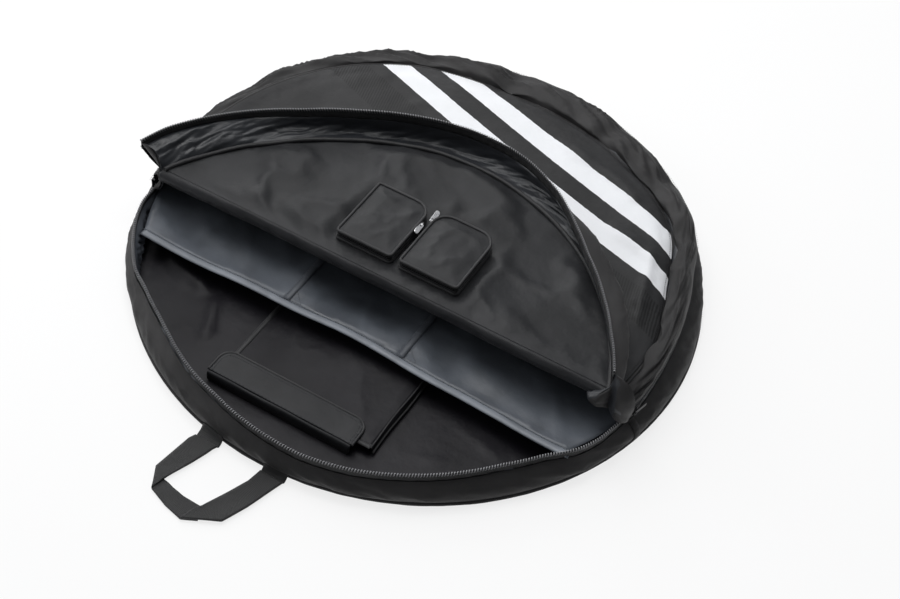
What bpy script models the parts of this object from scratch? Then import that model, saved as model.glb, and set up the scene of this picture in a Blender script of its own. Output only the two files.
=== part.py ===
"""Bike wheel bag, lying open on its back.

A round, padded bag for two wheels: back panel, deep gusset split by an all-round zip, and a
cover that folds back across a chord. The cover is modelled closed, cut along the crease, and
its front part is then turned back about the crease axis. Units are metres, +Z is up, the
origin is the centre of the back panel's floor face and the carry handle points towards -Y.
"""

import math

import bmesh
import bpy
from mathutils import Matrix, Vector

# Cloth, foam and seams
shell_thickness = 0.0015
lining_thickness = 0.001
foam_thickness = 0.004
layer_gap = 0.0003
piping_radius = 0.003
piping_sides = 6
ring_steps = 60
sheet_spokes = 48
sheet_rings = 4

# Back panel and lower gusset
back_seam_radius = 0.3655
back_seam_height = 0.0035
gusset_swell = 0.005
gusset_bulge_height = 0.022
gusset_foot_lean = 0.0017
gusset_curve_steps = 2

# Zip all round the bag
zip_inset = 0.010
zip_height = 0.0475
coil_radius = 0.0012
coil_sides = 6
coil_spacing = 0.002
tape_thickness = 0.0008
tape_width = 0.008
tape_lap = 0.004

# Cover
cover_seam_inset = 0.0255
cover_seam_height = 0.082
cover_panel_rise = 0.0012
cover_gusset_bulge = 0.001
cover_gusset_bulge_height = 0.0635
cover_sag = 0.013
cover_sag_run = 0.19
cover_sag_power = 4

# Crease across the cover
flap_depth = 0.226
fold_gap = 0.0003

# Divider between the two wheels
divider_height = 0.0365
divider_thickness = 0.0012
divider_hem_inset = 0.1975
divider_hem_width = 0.009
divider_hem_thickness = 0.003
divider_left_seam = -0.095
divider_right_seam = 0.070
divider_binding_width = 0.009
divider_binding_thickness = 0.0008
divider_dip = 0.011
divider_dip_run = 0.10
divider_wall_gap = 0.0005
dip_columns = 8
dip_rows = 14

# Cargo pocket on the back lining
cargo_left = -0.108
cargo_width = 0.213
cargo_mouth_setback = 0.012
cargo_length = 0.200
cargo_depth = 0.012
cargo_corner_radius = 0.004
cargo_flap_left = -0.116
cargo_flap_width = 0.203
cargo_flap_inset = 0.0655
cargo_flap_length = 0.038
cargo_flap_thickness = 0.0022
cargo_flap_corner = 0.016
cargo_flap_clearance = 0.0004
cargo_anchor_depth = 0.005

# Skewer pockets on the inside of the cover
pocket_height = 0.0145
pocket_length = 0.101
pocket_near_inset = 0.023
left_pocket_left = -0.073
left_pocket_width = 0.078
right_pocket_left = 0.017
right_pocket_width = 0.081
pocket_wall = 0.0013
pocket_zip_spacing = 0.0016
pocket_small_corner = 0.004
pocket_far_corner = 0.022
pocket_lid_round = 0.0012
pocket_seat_gap = 0.0003
pocket_wall_share = 0.5

# Carry handle: the shares place its corners across its spacing and along its reach
webbing_width = 0.032
webbing_thickness = 0.0022
handle_centre = -0.017
handle_spacing = 0.091
handle_reach = 0.104
handle_hinge_reach = 0.011
handle_floor_gap = 0.0002
handle_joint_gap = 0.0003
handle_outer_shares = ((-0.84, 0.67), (-0.68, 0.85), (-0.12, 1.0), (0.19, 0.875), (0.40, 0.76))
handle_inner_shares = ((0.20, 0.39), (0.03, 0.72), (-0.59, 0.68), (-0.48, 0.40))
anchor_steps = 4

# Main zip sliders and their pulls
slider_rest_angle = math.radians(15.0)
slider_length = 0.013
slider_height = 0.010
slider_nose_height = 0.0062
slider_plate = 0.0012
slider_clearance = 0.0005
slider_web = 0.001
bail_wire = 0.0009
bail_length = 0.005
bail_rise = 0.00325
pull_length = 0.022
pull_width = 0.0055
pull_thickness = 0.0011
pull_bar = 0.0012
pull_bar_rise = 0.00115
pull_eye_reach = 0.0037
pull_eye_width = 0.002

# Skewer pocket sliders and their pulls
small_slider_length = 0.009
small_slider_height = 0.006
small_slider_nose_height = 0.004
small_slider_plate = 0.001
small_slider_clearance = 0.0004
small_slider_web = 0.0008
small_slider_web_depth = 0.0012
small_bail_wire = 0.0007
small_bail_length = 0.0042
small_bail_rise = 0.0027
small_pull_length = 0.018
small_pull_width = 0.0044
small_pull_thickness = 0.0009
small_pull_bar = 0.001
small_pull_bar_rise = 0.001
small_pull_eye_reach = 0.0031
small_pull_eye_width = 0.0016
left_small_slider_inset = 0.030
right_small_slider_inset = 0.020

# Cutters reach this far past what they cut
overrun = 0.02
weld_distance = 0.00001

# Heights and radii that follow from the sizes above
gusset_bulge_radius = back_seam_radius + gusset_swell
zip_radius = back_seam_radius - zip_inset
cover_seam_radius = back_seam_radius - cover_seam_inset
crease_distance = cover_seam_radius - flap_depth
divider_hem_distance = back_seam_radius - divider_hem_inset
cargo_flap_distance = back_seam_radius - cargo_flap_inset
cargo_mouth_distance = cargo_flap_distance - cargo_mouth_setback
handle_hinge_distance = back_seam_radius + handle_hinge_reach
lower_coil_height = zip_height - coil_spacing / 2 - coil_radius
upper_coil_height = zip_height + coil_spacing / 2 + coil_radius
lower_tape_top = lower_coil_height - coil_radius - layer_gap
upper_tape_foot = upper_coil_height + coil_radius + layer_gap
lower_tape_foot = lower_tape_top - tape_width
upper_tape_top = upper_tape_foot + tape_width
lower_gusset_top = lower_tape_foot + tape_lap
upper_gusset_foot = upper_tape_top - tape_lap
gusset_zip_radius = zip_radius + tape_thickness / 2 + layer_gap + shell_thickness
lining_zip_radius = zip_radius - tape_thickness / 2 - layer_gap
lower_gusset_foot = back_seam_height + piping_radius + layer_gap
cover_top = cover_seam_height + piping_radius
crease_height = cover_top + fold_gap
cover_panel_top = cover_seam_height + cover_panel_rise
cover_inner_face = (
    cover_panel_top - shell_thickness - foam_thickness - lining_thickness - 2 * layer_gap
)
flap_floor = 2 * crease_height - cover_inner_face
back_lining_top = shell_thickness + foam_thickness + lining_thickness + 2 * layer_gap
divider_radius = lining_zip_radius - lining_thickness - divider_wall_gap


def facet_loss(radius, steps=ring_steps):
    """How far the middle of a facet lies inside the true circle."""
    return radius * (1 - math.cos(math.pi / steps))


def clear_scene():
    """Removes every object that the file opened with."""
    for obj in list(bpy.data.objects):
        bpy.data.objects.remove(obj, do_unlink=True)


def new_collection(name):
    """Makes a collection in the scene."""
    collection = bpy.data.collections.new(name)
    bpy.context.scene.collection.children.link(collection)
    return collection


def new_material(name, colour, roughness, metallic=0.0):
    """Makes a Principled material."""
    made = bpy.data.materials.new(name)
    made.use_nodes = True
    shader = made.node_tree.nodes["Principled BSDF"]
    shader.inputs["Base Color"].default_value = (*colour, 1.0)
    shader.inputs["Roughness"].default_value = roughness
    shader.inputs["Metallic"].default_value = metallic
    return made


def outer_nylon(name):
    """Black woven nylon of the bag's outside."""
    return new_material(name, (0.022, 0.022, 0.024), 0.62)


def inner_nylon(name):
    """Charcoal lining of the cover."""
    return new_material(name, (0.045, 0.045, 0.049), 0.55)


def coated_lining(name):
    """Blue-grey coated lining."""
    return new_material(name, (0.075, 0.08, 0.092), 0.42)


def closed_cell_foam(name):
    """Grey padding inside the panels."""
    return new_material(name, (0.2, 0.2, 0.21), 0.9)


def zip_plastic(name):
    """Black plastic coil."""
    return new_material(name, (0.03, 0.03, 0.033), 0.35)


def webbing(name):
    """Black woven strap."""
    return new_material(name, (0.02, 0.02, 0.021), 0.7)


def plated_zinc(name):
    """Bright plated zinc of the pulls."""
    return new_material(name, (0.72, 0.72, 0.74), 0.25, 1.0)


def painted_zinc(name):
    """Black painted zinc of the sliders."""
    return new_material(name, (0.035, 0.035, 0.037), 0.4, 0.6)


def add_object(name, mesh, collection, made=None):
    """Puts a mesh into the scene as one object."""
    obj = bpy.data.objects.new(name, mesh)
    collection.objects.link(obj)
    if made is not None:
        mesh.materials.append(made)
    return obj


def mesh_from(name, form):
    """Turns a bmesh into a mesh and frees it."""
    mesh = bpy.data.meshes.new(name)
    form.to_mesh(mesh)
    form.free()
    return mesh


def add_empty(name, collection, location, turn=None):
    """Adds an empty that marks a joint."""
    empty = bpy.data.objects.new(name, None)
    empty.location = location
    if turn is not None:
        empty.rotation_euler = turn
    collection.objects.link(empty)
    return empty


def carry(obj, parent):
    """Parents an object where it stands."""
    bpy.context.view_layer.update()
    obj.parent = parent
    obj.matrix_parent_inverse = parent.matrix_world.inverted()


def set_origin(obj, point):
    """Moves a mesh object's origin to a world point and leaves its shape where it is."""
    shift = Vector(point) - obj.location
    obj.data.transform(Matrix.Translation(-shift))
    obj.location = Vector(point)


def as_cutter(obj):
    """Hides a cutter from the render."""
    obj.hide_render = True
    obj.display_type = "WIRE"
    return obj


def join_cut(obj, other, operation):
    """Adds a Boolean modifier."""
    modifier = obj.modifiers.new(operation.lower() + "_" + other.name, "BOOLEAN")
    modifier.operation = operation
    modifier.object = other
    return modifier


def box_mesh(name, low, high, bevel=0.0):
    """A box between two corners, with its edges rounded by bevel."""
    form = bmesh.new()
    bmesh.ops.create_cube(form, size=1.0)
    low = Vector(low)
    high = Vector(high)
    size = high - low
    bmesh.ops.scale(form, vec=size, verts=form.verts)
    bmesh.ops.translate(form, vec=(low + high) / 2, verts=form.verts)
    if bevel > 0:
        bmesh.ops.bevel(
            form, geom=form.edges[:], offset=bevel, segments=2, profile=0.5, affect="EDGES"
        )
    return mesh_from(name, form)


def turned(name, profile, collection, made, closed):
    """Turns a profile of (radius, height) points about Z: a loop, or a line that runs down."""
    form = bmesh.new()
    points = [form.verts.new((radius, 0, height)) for radius, height in profile]
    for first, second in zip(points, points[1:]):
        form.edges.new((first, second))
    if closed:
        form.edges.new((points[-1], points[0]))
    obj = add_object(name, mesh_from(name, form), collection, made)
    screw = obj.modifiers.new("turn", "SCREW")
    screw.steps = ring_steps
    screw.render_steps = ring_steps
    screw.use_merge_vertices = True
    screw.merge_threshold = weld_distance
    return obj


def turned_shell(name, profile, thickness, collection, made):
    """A turned cloth wall: its profile is the outer face and its thickness goes inwards."""
    obj = turned(name, profile, collection, made, closed=False)
    shell = obj.modifiers.new("cloth", "SOLIDIFY")
    shell.thickness = thickness
    shell.offset = -1
    return obj


def round_section(radius, height, section_radius, sides):
    """A small circle at (radius, height), going down its outer side."""
    points = []
    for index in range(sides):
        angle = math.pi / 2 - 2 * math.pi * index / sides
        out = section_radius * math.cos(angle)
        rise = section_radius * math.sin(angle)
        points.append((radius + out, height + rise))
    return points


def disc(name, radius, foot, thickness, collection, made):
    """A flat round sheet."""
    form = bmesh.new()
    bmesh.ops.create_cone(
        form,
        cap_ends=True,
        segments=ring_steps,
        radius1=radius,
        radius2=radius,
        depth=thickness,
    )
    bmesh.ops.translate(form, vec=(0, 0, foot + thickness / 2), verts=form.verts)
    return add_object(name, mesh_from(name, form), collection, made)


def smooth_step(value):
    """0 below 0, 1 above 1 and a smooth curve between."""
    value = min(max(value, 0), 1)
    return value * value * (3 - 2 * value)


def cover_sag_at(x, y, radius):
    """How far the fixed cover hangs below its rim."""
    share = min(math.hypot(x, y) / radius, 1)
    bowl = 1 - share**cover_sag_power
    return cover_sag * bowl * smooth_step((y + crease_distance) / cover_sag_run)


def sagging_sheet(name, radius, top, thickness, collection, made):
    """A round sheet whose far side hangs below its rim."""
    form = bmesh.new()
    centre = form.verts.new((0, 0, top - cover_sag_at(0, 0, radius)))
    rings = []
    for ring in range(1, sheet_rings + 1):
        at = radius * ring / sheet_rings
        row = []
        for spoke in range(sheet_spokes):
            angle = 2 * math.pi * spoke / sheet_spokes
            x = at * math.cos(angle)
            y = at * math.sin(angle)
            row.append(form.verts.new((x, y, top - cover_sag_at(x, y, radius))))
        rings.append(row)
    for spoke in range(sheet_spokes):
        after = (spoke + 1) % sheet_spokes
        form.faces.new((centre, rings[0][spoke], rings[0][after]))
        for inner, outer in zip(rings, rings[1:]):
            form.faces.new((inner[spoke], outer[spoke], outer[after]))
            form.faces.new((inner[spoke], outer[after], inner[after]))
    obj = add_object(name, mesh_from(name, form), collection, made)
    shell = obj.modifiers.new("cloth", "SOLIDIFY")
    shell.thickness = thickness
    shell.offset = -1
    return obj


def outline_plate(name, points, foot, thickness, collection, made, holes=()):
    """A flat plate with a drawn outline, standing on foot."""
    curve = bpy.data.curves.new(name, "CURVE")
    curve.dimensions = "2D"
    curve.fill_mode = "BOTH"
    curve.extrude = thickness / 2
    for loop in (points, *holes):
        spline = curve.splines.new("POLY")
        spline.points.add(len(loop) - 1)
        for slot, (x, y) in zip(spline.points, loop):
            slot.co = (x, y, 0, 1)
        spline.use_cyclic_u = True
    drawn = bpy.data.objects.new(name + "_outline", curve)
    collection.objects.link(drawn)
    bpy.context.view_layer.update()
    graph = bpy.context.evaluated_depsgraph_get()
    mesh = bpy.data.meshes.new_from_object(drawn.evaluated_get(graph))
    bpy.data.objects.remove(drawn, do_unlink=True)
    form = bmesh.new()
    form.from_mesh(mesh)
    bpy.data.meshes.remove(mesh)
    bmesh.ops.remove_doubles(form, verts=form.verts, dist=weld_distance)
    bmesh.ops.recalc_face_normals(form, faces=form.faces)
    bmesh.ops.translate(form, vec=(0, 0, foot + thickness / 2), verts=form.verts)
    return add_object(name, mesh_from(name, form), collection, made)


def corner_arc(centre, radius, start, end, steps):
    """Points along an arc, from one angle to another in degrees."""
    points = []
    for index in range(steps + 1):
        angle = math.radians(start + (end - start) * index / steps)
        points.append((centre[0] + radius * math.cos(angle), centre[1] + radius * math.sin(angle)))
    return points


def rounded_outline(left, right, near, far, radii, steps=5):
    """A rectangle with a radius at each corner: near left, near right, far right, far left."""
    near_left, near_right, far_right, far_left = radii
    points = corner_arc((left + near_left, near + near_left), near_left, 180, 270, steps)
    points += corner_arc((right - near_right, near + near_right), near_right, 270, 360, steps)
    points += corner_arc((right - far_right, far - far_right), far_right, 0, 90, steps)
    points += corner_arc((left + far_left, far - far_left), far_left, 90, 180, steps)
    return points


def loft(name, sections, collection, made):
    """Joins closed sections of the same number of points into one solid with flat ends."""
    form = bmesh.new()
    rows = [[form.verts.new(point) for point in section] for section in sections]
    count = len(rows[0])
    for first, second in zip(rows, rows[1:]):
        for index in range(count):
            after = (index + 1) % count
            form.faces.new((first[index], first[after], second[after], second[index]))
    form.faces.new(list(reversed(rows[0])))
    form.faces.new(rows[-1])
    bmesh.ops.recalc_face_normals(form, faces=form.faces)
    return add_object(name, mesh_from(name, form), collection, made)


def bulged_run(start, peak, end):
    """Profile points from start over a rounded peak to end; each is (radius, height)."""
    points = []
    for step in range(gusset_curve_steps + 1):
        share = step / gusset_curve_steps
        out = math.sin(share * math.pi / 2)
        radius = start[0] + (peak[0] - start[0]) * out
        points.append((radius, start[1] + (peak[1] - start[1]) * share))
    for step in range(1, gusset_curve_steps + 1):
        share = step / gusset_curve_steps
        out = math.cos(share * math.pi / 2)
        radius = end[0] + (peak[0] - end[0]) * out
        points.append((radius, peak[1] + (end[1] - peak[1]) * share))
    return points


def inset_profile(profile, distance):
    """Moves a downward profile towards the axis, square to itself, and clear of the zip tape."""
    normals = []
    for first, second in zip(profile, profile[1:]):
        run = Vector((second[0] - first[0], second[1] - first[1])).normalized()
        normals.append(Vector((run.y, -run.x)))
    moved = []
    for index, (radius, height) in enumerate(profile):
        before = normals[max(index - 1, 0)]
        after = normals[min(index, len(normals) - 1)]
        shift = (before + after) * distance / (1 + before.dot(after))
        if math.isclose(radius, gusset_zip_radius):
            moved.append((lining_zip_radius, height))
        else:
            moved.append((radius + shift.x, height + shift.y))
    return moved


def build_back(parts):
    """The flat back: outer cloth, foam and lining inside a ring of piping."""
    radius = back_seam_radius - piping_radius - layer_gap
    foam_foot = shell_thickness + layer_gap
    lining_foot = foam_foot + foam_thickness + layer_gap
    disc("back_panel", radius, 0, shell_thickness, parts, outer_nylon("back_nylon"))
    disc("back_foam", radius, foam_foot, foam_thickness, parts, closed_cell_foam("back_padding"))
    disc("back_lining", radius, lining_foot, lining_thickness, parts, inner_nylon("back_cloth"))
    section = round_section(back_seam_radius, back_seam_height, piping_radius, piping_sides)
    turned("bottom_piping", section, parts, outer_nylon("bottom_piping_cloth"), closed=True)


def build_lower_gusset(parts):
    """The wall from the back panel's seam up to the zip, with its lining."""
    straight_foot = lower_tape_foot - layer_gap
    foot_radius = back_seam_radius + gusset_foot_lean
    profile = [(gusset_zip_radius, lower_gusset_top)]
    profile += bulged_run(
        (gusset_zip_radius, straight_foot),
        (gusset_bulge_radius, gusset_bulge_height),
        (foot_radius, lower_gusset_foot),
    )
    turned_shell("lower_gusset", profile, shell_thickness, parts, outer_nylon("gusset_nylon"))
    profile = inset_profile(profile, shell_thickness + layer_gap)
    made = coated_lining("gusset_coating")
    turned_shell("lower_gusset_lining", profile, lining_thickness, parts, made)


def tape_profile(foot):
    """The outer face of a zip tape, from its top down."""
    radius = zip_radius + tape_thickness / 2
    return [(radius, foot + tape_width), (radius, foot)]


def build_lower_zip(parts):
    """The tape and coil that run all the way round the lower gusset."""
    made = outer_nylon("lower_tape_cloth")
    turned_shell("lower_zip_tape", tape_profile(lower_tape_foot), tape_thickness, parts, made)
    section = round_section(zip_radius, lower_coil_height, coil_radius, coil_sides)
    turned("lower_zip_coil", section, parts, zip_plastic("lower_coil_plastic"), closed=True)


def half_cutter(name, cutters, rear):
    """A box that holds the part of the cover behind the crease, or in front of it."""
    reach = max(cover_seam_radius + piping_radius, gusset_zip_radius) + overrun
    edge = fold_gap - crease_distance if rear else -fold_gap - crease_distance
    near = edge if rear else -reach
    far = reach if rear else edge
    mesh = box_mesh(name, (-reach, near, zip_height), (reach, far, cover_top + overrun))
    return as_cutter(add_object(name, mesh, cutters))


def build_cover_half(parts, cutter, label):
    """Every layer of the cover on one side of the crease, as it lies when zipped shut."""
    radius = cover_seam_radius - piping_radius - layer_gap
    foam_top = cover_panel_top - shell_thickness - layer_gap
    lining_top = foam_top - foam_thickness - layer_gap
    layers = (
        ("cover_panel", cover_panel_top, shell_thickness, outer_nylon),
        ("cover_foam", foam_top, foam_thickness, closed_cell_foam),
        ("cover_lining", lining_top, lining_thickness, inner_nylon),
    )
    made = []
    for part, top, thickness, finish in layers:
        name = label + "_" + part
        look = finish(name + "_cloth")
        if label == "rear":
            made.append(sagging_sheet(name, radius, top, thickness, parts, look))
        else:
            made.append(disc(name, radius, top - thickness, thickness, parts, look))
    head = cover_seam_height - piping_radius - layer_gap
    head_radius = cover_seam_radius + shell_thickness / 2
    straight_top = upper_tape_top + layer_gap
    bulge_radius = gusset_zip_radius + cover_gusset_bulge
    profile = [
        (head_radius, head),
        (bulge_radius, cover_gusset_bulge_height),
        (gusset_zip_radius, straight_top),
        (gusset_zip_radius, upper_gusset_foot),
    ]
    name = label + "_cover_gusset"
    look = outer_nylon(name + "_cloth")
    made.append(turned_shell(name, profile, shell_thickness, parts, look))
    profile = inset_profile(profile, shell_thickness + layer_gap)
    name = label + "_gusset_lining"
    look = coated_lining(name + "_cloth")
    made.append(turned_shell(name, profile, lining_thickness, parts, look))
    name = label + "_cover_piping"
    section = round_section(cover_seam_radius, cover_seam_height, piping_radius, piping_sides)
    made.append(turned(name, section, parts, outer_nylon(name + "_cloth"), closed=True))
    name = label + "_zip_tape"
    profile = tape_profile(upper_tape_foot)
    look = outer_nylon(name + "_cloth")
    made.append(turned_shell(name, profile, tape_thickness, parts, look))
    name = label + "_zip_coil"
    section = round_section(zip_radius, upper_coil_height, coil_radius, coil_sides)
    made.append(turned(name, section, parts, zip_plastic(name + "_plastic"), closed=True))
    for piece in made:
        join_cut(piece, cutter, "INTERSECT")
    return made


def build_cover(parts, cutters):
    """The fixed part of the cover, and the flap folded back about the crease."""
    build_cover_half(parts, half_cutter("rear_half", cutters, True), "rear")
    fold = add_empty("fold_axis", parts, (0, -crease_distance, crease_height))
    front = half_cutter("front_half", cutters, False)
    pieces = build_cover_half(parts, front, "front")
    for piece in (*pieces, front):
        carry(piece, fold)
    fold.rotation_euler.x = math.pi
    bpy.context.view_layer.update()
    return fold


def divider_sheet(name, left, right, cutter, parts, made):
    """A flat panel of the divider between two lines, cut to the round of the gusset."""
    near = layer_gap - divider_hem_distance
    low = (left, near, divider_height - divider_thickness)
    obj = add_object(name, box_mesh(name, low, (right, divider_radius, divider_height)), parts, made)
    join_cut(obj, cutter, "INTERSECT")
    return obj


def divider_dip_at(across, y):
    """How far the middle panel hangs below its seams."""
    near = layer_gap - divider_hem_distance
    rise = smooth_step((y - near) / divider_dip_run)
    fall = smooth_step((divider_radius - divider_dip_run / 2 - y) / divider_dip_run)
    return divider_dip * math.sin(math.pi * across) * rise * fall


def dipping_sheet(name, left, right, cutter, parts, made):
    """The middle panel of the divider, which hangs between its two seams."""
    near = layer_gap - divider_hem_distance
    form = bmesh.new()
    rows = []
    for row in range(dip_rows + 1):
        y = near + (divider_radius - near) * row / dip_rows
        points = []
        for column in range(dip_columns + 1):
            across = column / dip_columns
            x = left + (right - left) * across
            points.append(form.verts.new((x, y, divider_height - divider_dip_at(across, y))))
        rows.append(points)
    for lower, upper in zip(rows, rows[1:]):
        for index in range(dip_columns):
            corners = (lower[index], lower[index + 1], upper[index + 1], upper[index])
            form.faces.new(corners)
    obj = add_object(name, mesh_from(name, form), parts, made)
    shell = obj.modifiers.new("cloth", "SOLIDIFY")
    shell.thickness = divider_thickness
    shell.offset = -1
    join_cut(obj, cutter, "INTERSECT")
    return obj


def build_divider(parts, cutters):
    """The divider at zip level: three panels, their bound seams and the front hem."""
    depth = divider_dip + divider_hem_thickness + overrun
    cutter = disc("divider_round", divider_radius, divider_height - depth, 2 * depth, cutters, None)
    as_cutter(cutter)
    side = layer_gap / 2
    edge = divider_radius + overrun
    left_end = divider_left_seam - side
    right_start = divider_right_seam + side
    cloth = coated_lining("divider_cloth")
    divider_sheet("divider_left", -edge, left_end, cutter, parts, cloth)
    divider_sheet("divider_right", right_start, edge, cutter, parts, cloth)
    dipping_sheet(
        "divider_middle", left_end + layer_gap, right_start - layer_gap, cutter, parts, cloth
    )
    foot = divider_height + layer_gap
    near = layer_gap - divider_hem_distance
    for name, seam in (("left", divider_left_seam), ("right", divider_right_seam)):
        title = "divider_seam_" + name
        low = (seam - divider_binding_width / 2, near, foot)
        high = (seam + divider_binding_width / 2, edge, foot + divider_binding_thickness)
        strip = add_object(title, box_mesh(title, low, high), parts, coated_lining(title))
        join_cut(strip, cutter, "INTERSECT")
    middle = divider_height - divider_thickness / 2
    half = divider_hem_thickness / 2
    low = (-edge, -divider_hem_distance - divider_hem_width, middle - half)
    high = (edge, -divider_hem_distance, middle + half)
    mesh = box_mesh("divider_hem", low, high, half * pocket_wall_share)
    hem = add_object("divider_hem", mesh, parts, coated_lining("divider_hem_binding"))
    join_cut(hem, cutter, "INTERSECT")


def build_cargo_pocket(parts):
    """The bellows pocket on the back lining, open towards the handle, with its flap."""
    foot = back_lining_top + layer_gap
    top = foot + cargo_depth
    form = bmesh.new()
    bmesh.ops.create_cube(form, size=1.0)
    size = Vector((cargo_width, cargo_length, cargo_depth))
    bmesh.ops.scale(form, vec=size, verts=form.verts)
    centre = (
        cargo_left + cargo_width / 2,
        cargo_length / 2 - cargo_mouth_distance,
        foot + cargo_depth / 2,
    )
    bmesh.ops.translate(form, vec=centre, verts=form.verts)
    form.normal_update()
    gone = [face for face in form.faces if face.normal.z < -0.5 or face.normal.y < -0.5]
    bmesh.ops.delete(form, geom=gone, context="FACES")
    inner = [edge for edge in form.edges if len(edge.link_faces) == 2]
    bmesh.ops.bevel(
        form, geom=inner, offset=cargo_corner_radius, segments=3, profile=0.5, affect="EDGES"
    )
    made = inner_nylon("cargo_cloth")
    pocket = add_object("cargo_pocket", mesh_from("cargo_pocket", form), parts, made)
    shell = pocket.modifiers.new("cloth", "SOLIDIFY")
    shell.thickness = lining_thickness
    shell.offset = -1
    flap_foot = top + cargo_flap_clearance
    flap_top = flap_foot + cargo_flap_thickness
    left = cargo_flap_left
    right = cargo_flap_left + cargo_flap_width
    near = -cargo_flap_distance
    low = (left, near - cargo_flap_clearance - cargo_anchor_depth, foot)
    high = (right, near - cargo_flap_clearance, flap_top)
    anchor = box_mesh("cargo_flap_anchor", low, high)
    add_object("cargo_flap_anchor", anchor, parts, inner_nylon("cargo_anchor_cloth"))
    small = cargo_flap_corner * pocket_wall_share**3
    radii = (small, small, cargo_flap_corner, cargo_flap_corner)
    points = rounded_outline(left, right, near, near + cargo_flap_length, radii)
    made = inner_nylon("cargo_flap_cloth")
    flap = outline_plate("cargo_flap", points, flap_foot, cargo_flap_thickness, parts, made)
    set_origin(flap, ((left + right) / 2, near, flap_top))


def round_top(obj, radius):
    """Rounds the upper rim of a plate."""
    form = bmesh.new()
    form.from_mesh(obj.data)
    top = max(vert.co.z for vert in form.verts)
    rim = []
    for edge in form.edges:
        level = all(top - vert.co.z < weld_distance for vert in edge.verts)
        if level and len({face.normal.z > 0.5 for face in edge.link_faces}) == 2:
            rim.append(edge)
    bmesh.ops.bevel(form, geom=rim, offset=radius, segments=2, profile=0.5, affect="EDGES")
    form.to_mesh(obj.data)
    form.free()


def build_skewer_pocket(parts, cutters, fold, label, left, width, far_radii):
    """A zipped pocket on the flap's inside: a fixed wall and a lid hinged near the crease."""
    right = left + width
    near = pocket_near_inset - crease_distance
    far = near + pocket_length
    split = flap_floor + pocket_height * pocket_wall_share
    wall_foot = flap_floor + pocket_seat_gap
    wall_top = split - pocket_zip_spacing / 2
    lid_foot = split + pocket_zip_spacing / 2
    lid_top = flap_floor + pocket_height
    radii = (pocket_small_corner, pocket_small_corner, *far_radii)
    outer = rounded_outline(left, right, near, far, radii)
    inner_radii = tuple(radius - pocket_wall for radius in radii)
    inner = rounded_outline(
        left + pocket_wall, right - pocket_wall, near + pocket_wall, far - pocket_wall, inner_radii
    )
    cloth = inner_nylon(label + "_pocket_cloth")
    name = label + "_pocket_wall"
    wall = outline_plate(name, outer, wall_foot, wall_top - wall_foot, parts, cloth, [inner])
    name = label + "_pocket_lid"
    lid = outline_plate(name, outer, lid_foot, lid_top - lid_foot, parts, cloth)
    round_top(lid, pocket_lid_round)
    name = label + "_lid_hollow"
    depth = lid_top - pocket_wall - wall_foot
    hollow = as_cutter(outline_plate(name, inner, wall_foot, depth, cutters, None))
    name = label + "_lid_hinge"
    low = (left + pocket_small_corner, near + layer_gap, wall_top + pocket_seat_gap)
    high = (right - pocket_small_corner, near + pocket_wall - layer_gap, lid_top - pocket_wall)
    hinge = as_cutter(add_object(name, box_mesh(name, low, high), cutters))
    join_cut(lid, hollow, "DIFFERENCE")
    join_cut(lid, hinge, "UNION")
    set_origin(lid, ((left + right) / 2, near, wall_top + pocket_seat_gap))
    for piece in (wall, lid, hollow, hinge):
        carry(piece, fold)
    return split


def build_handle(parts):
    """The webbing loop at the bottom seam, flat on the floor, and the two sewn ends."""
    foot = handle_floor_gap
    hinge = -handle_hinge_distance
    half = webbing_width / 2
    left = handle_centre - handle_spacing / 2
    right = handle_centre + handle_spacing / 2

    def corner(share):
        return (handle_centre + handle_spacing * share[0], hinge - handle_reach * share[1])

    start = hinge - handle_joint_gap
    outline = [(left - half, start)]
    outline += [corner(share) for share in handle_outer_shares]
    outline += [(right + half, start), (right - half, start)]
    outline += [corner(share) for share in handle_inner_shares]
    outline.append((left + half, start))
    made = webbing("handle_webbing")
    strap = outline_plate("handle_strap", outline, foot, webbing_thickness, parts, made)
    set_origin(strap, (handle_centre, hinge, foot + webbing_thickness))
    radius = back_seam_radius + piping_radius + handle_joint_gap
    for label, centre in (("left", left), ("right", right)):
        points = []
        for step in range(anchor_steps + 1):
            x = centre - half + webbing_width * step / anchor_steps
            points.append((x, -math.sqrt(radius * radius - x * x)))
        points += [(centre + half, hinge + handle_joint_gap), (centre - half, hinge + handle_joint_gap)]
        name = "handle_anchor_" + label
        outline_plate(name, points, foot, webbing_thickness, parts, webbing(name + "_webbing"))


def slider_solid(name, outline, sizes, side, parts, made):
    """Lofts a slider along its travel: full height to its middle, then down to the nose."""
    length, height, nose_height = sizes
    stations = ((-length / 2, height), (0, height), (length / 2, nose_height))
    sections = []
    for along, tall in stations:
        sections.append([(x, along * side, z) for x, z in outline(tall / 2)])
    return loft(name, sections, parts, made)


def add_bail(slider, base, sizes, cutters):
    """Joins the arch that holds the pull to a slider's outer plate."""
    wire, length, rise, sink = sizes
    half = length / 2
    points = (
        (base - sink, -half),
        (base + rise, -half),
        (base + rise, half),
        (base - sink, half),
        (base - sink, half - wire),
        (base + rise - wire, half - wire),
        (base + rise - wire, wire - half),
        (base - sink, wire - half),
    )
    bail = outline_plate(slider.name + "_bail", points, -wire / 2, wire, cutters, None)
    as_cutter(bail)
    join_cut(slider, bail, "UNION")
    return bail


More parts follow.
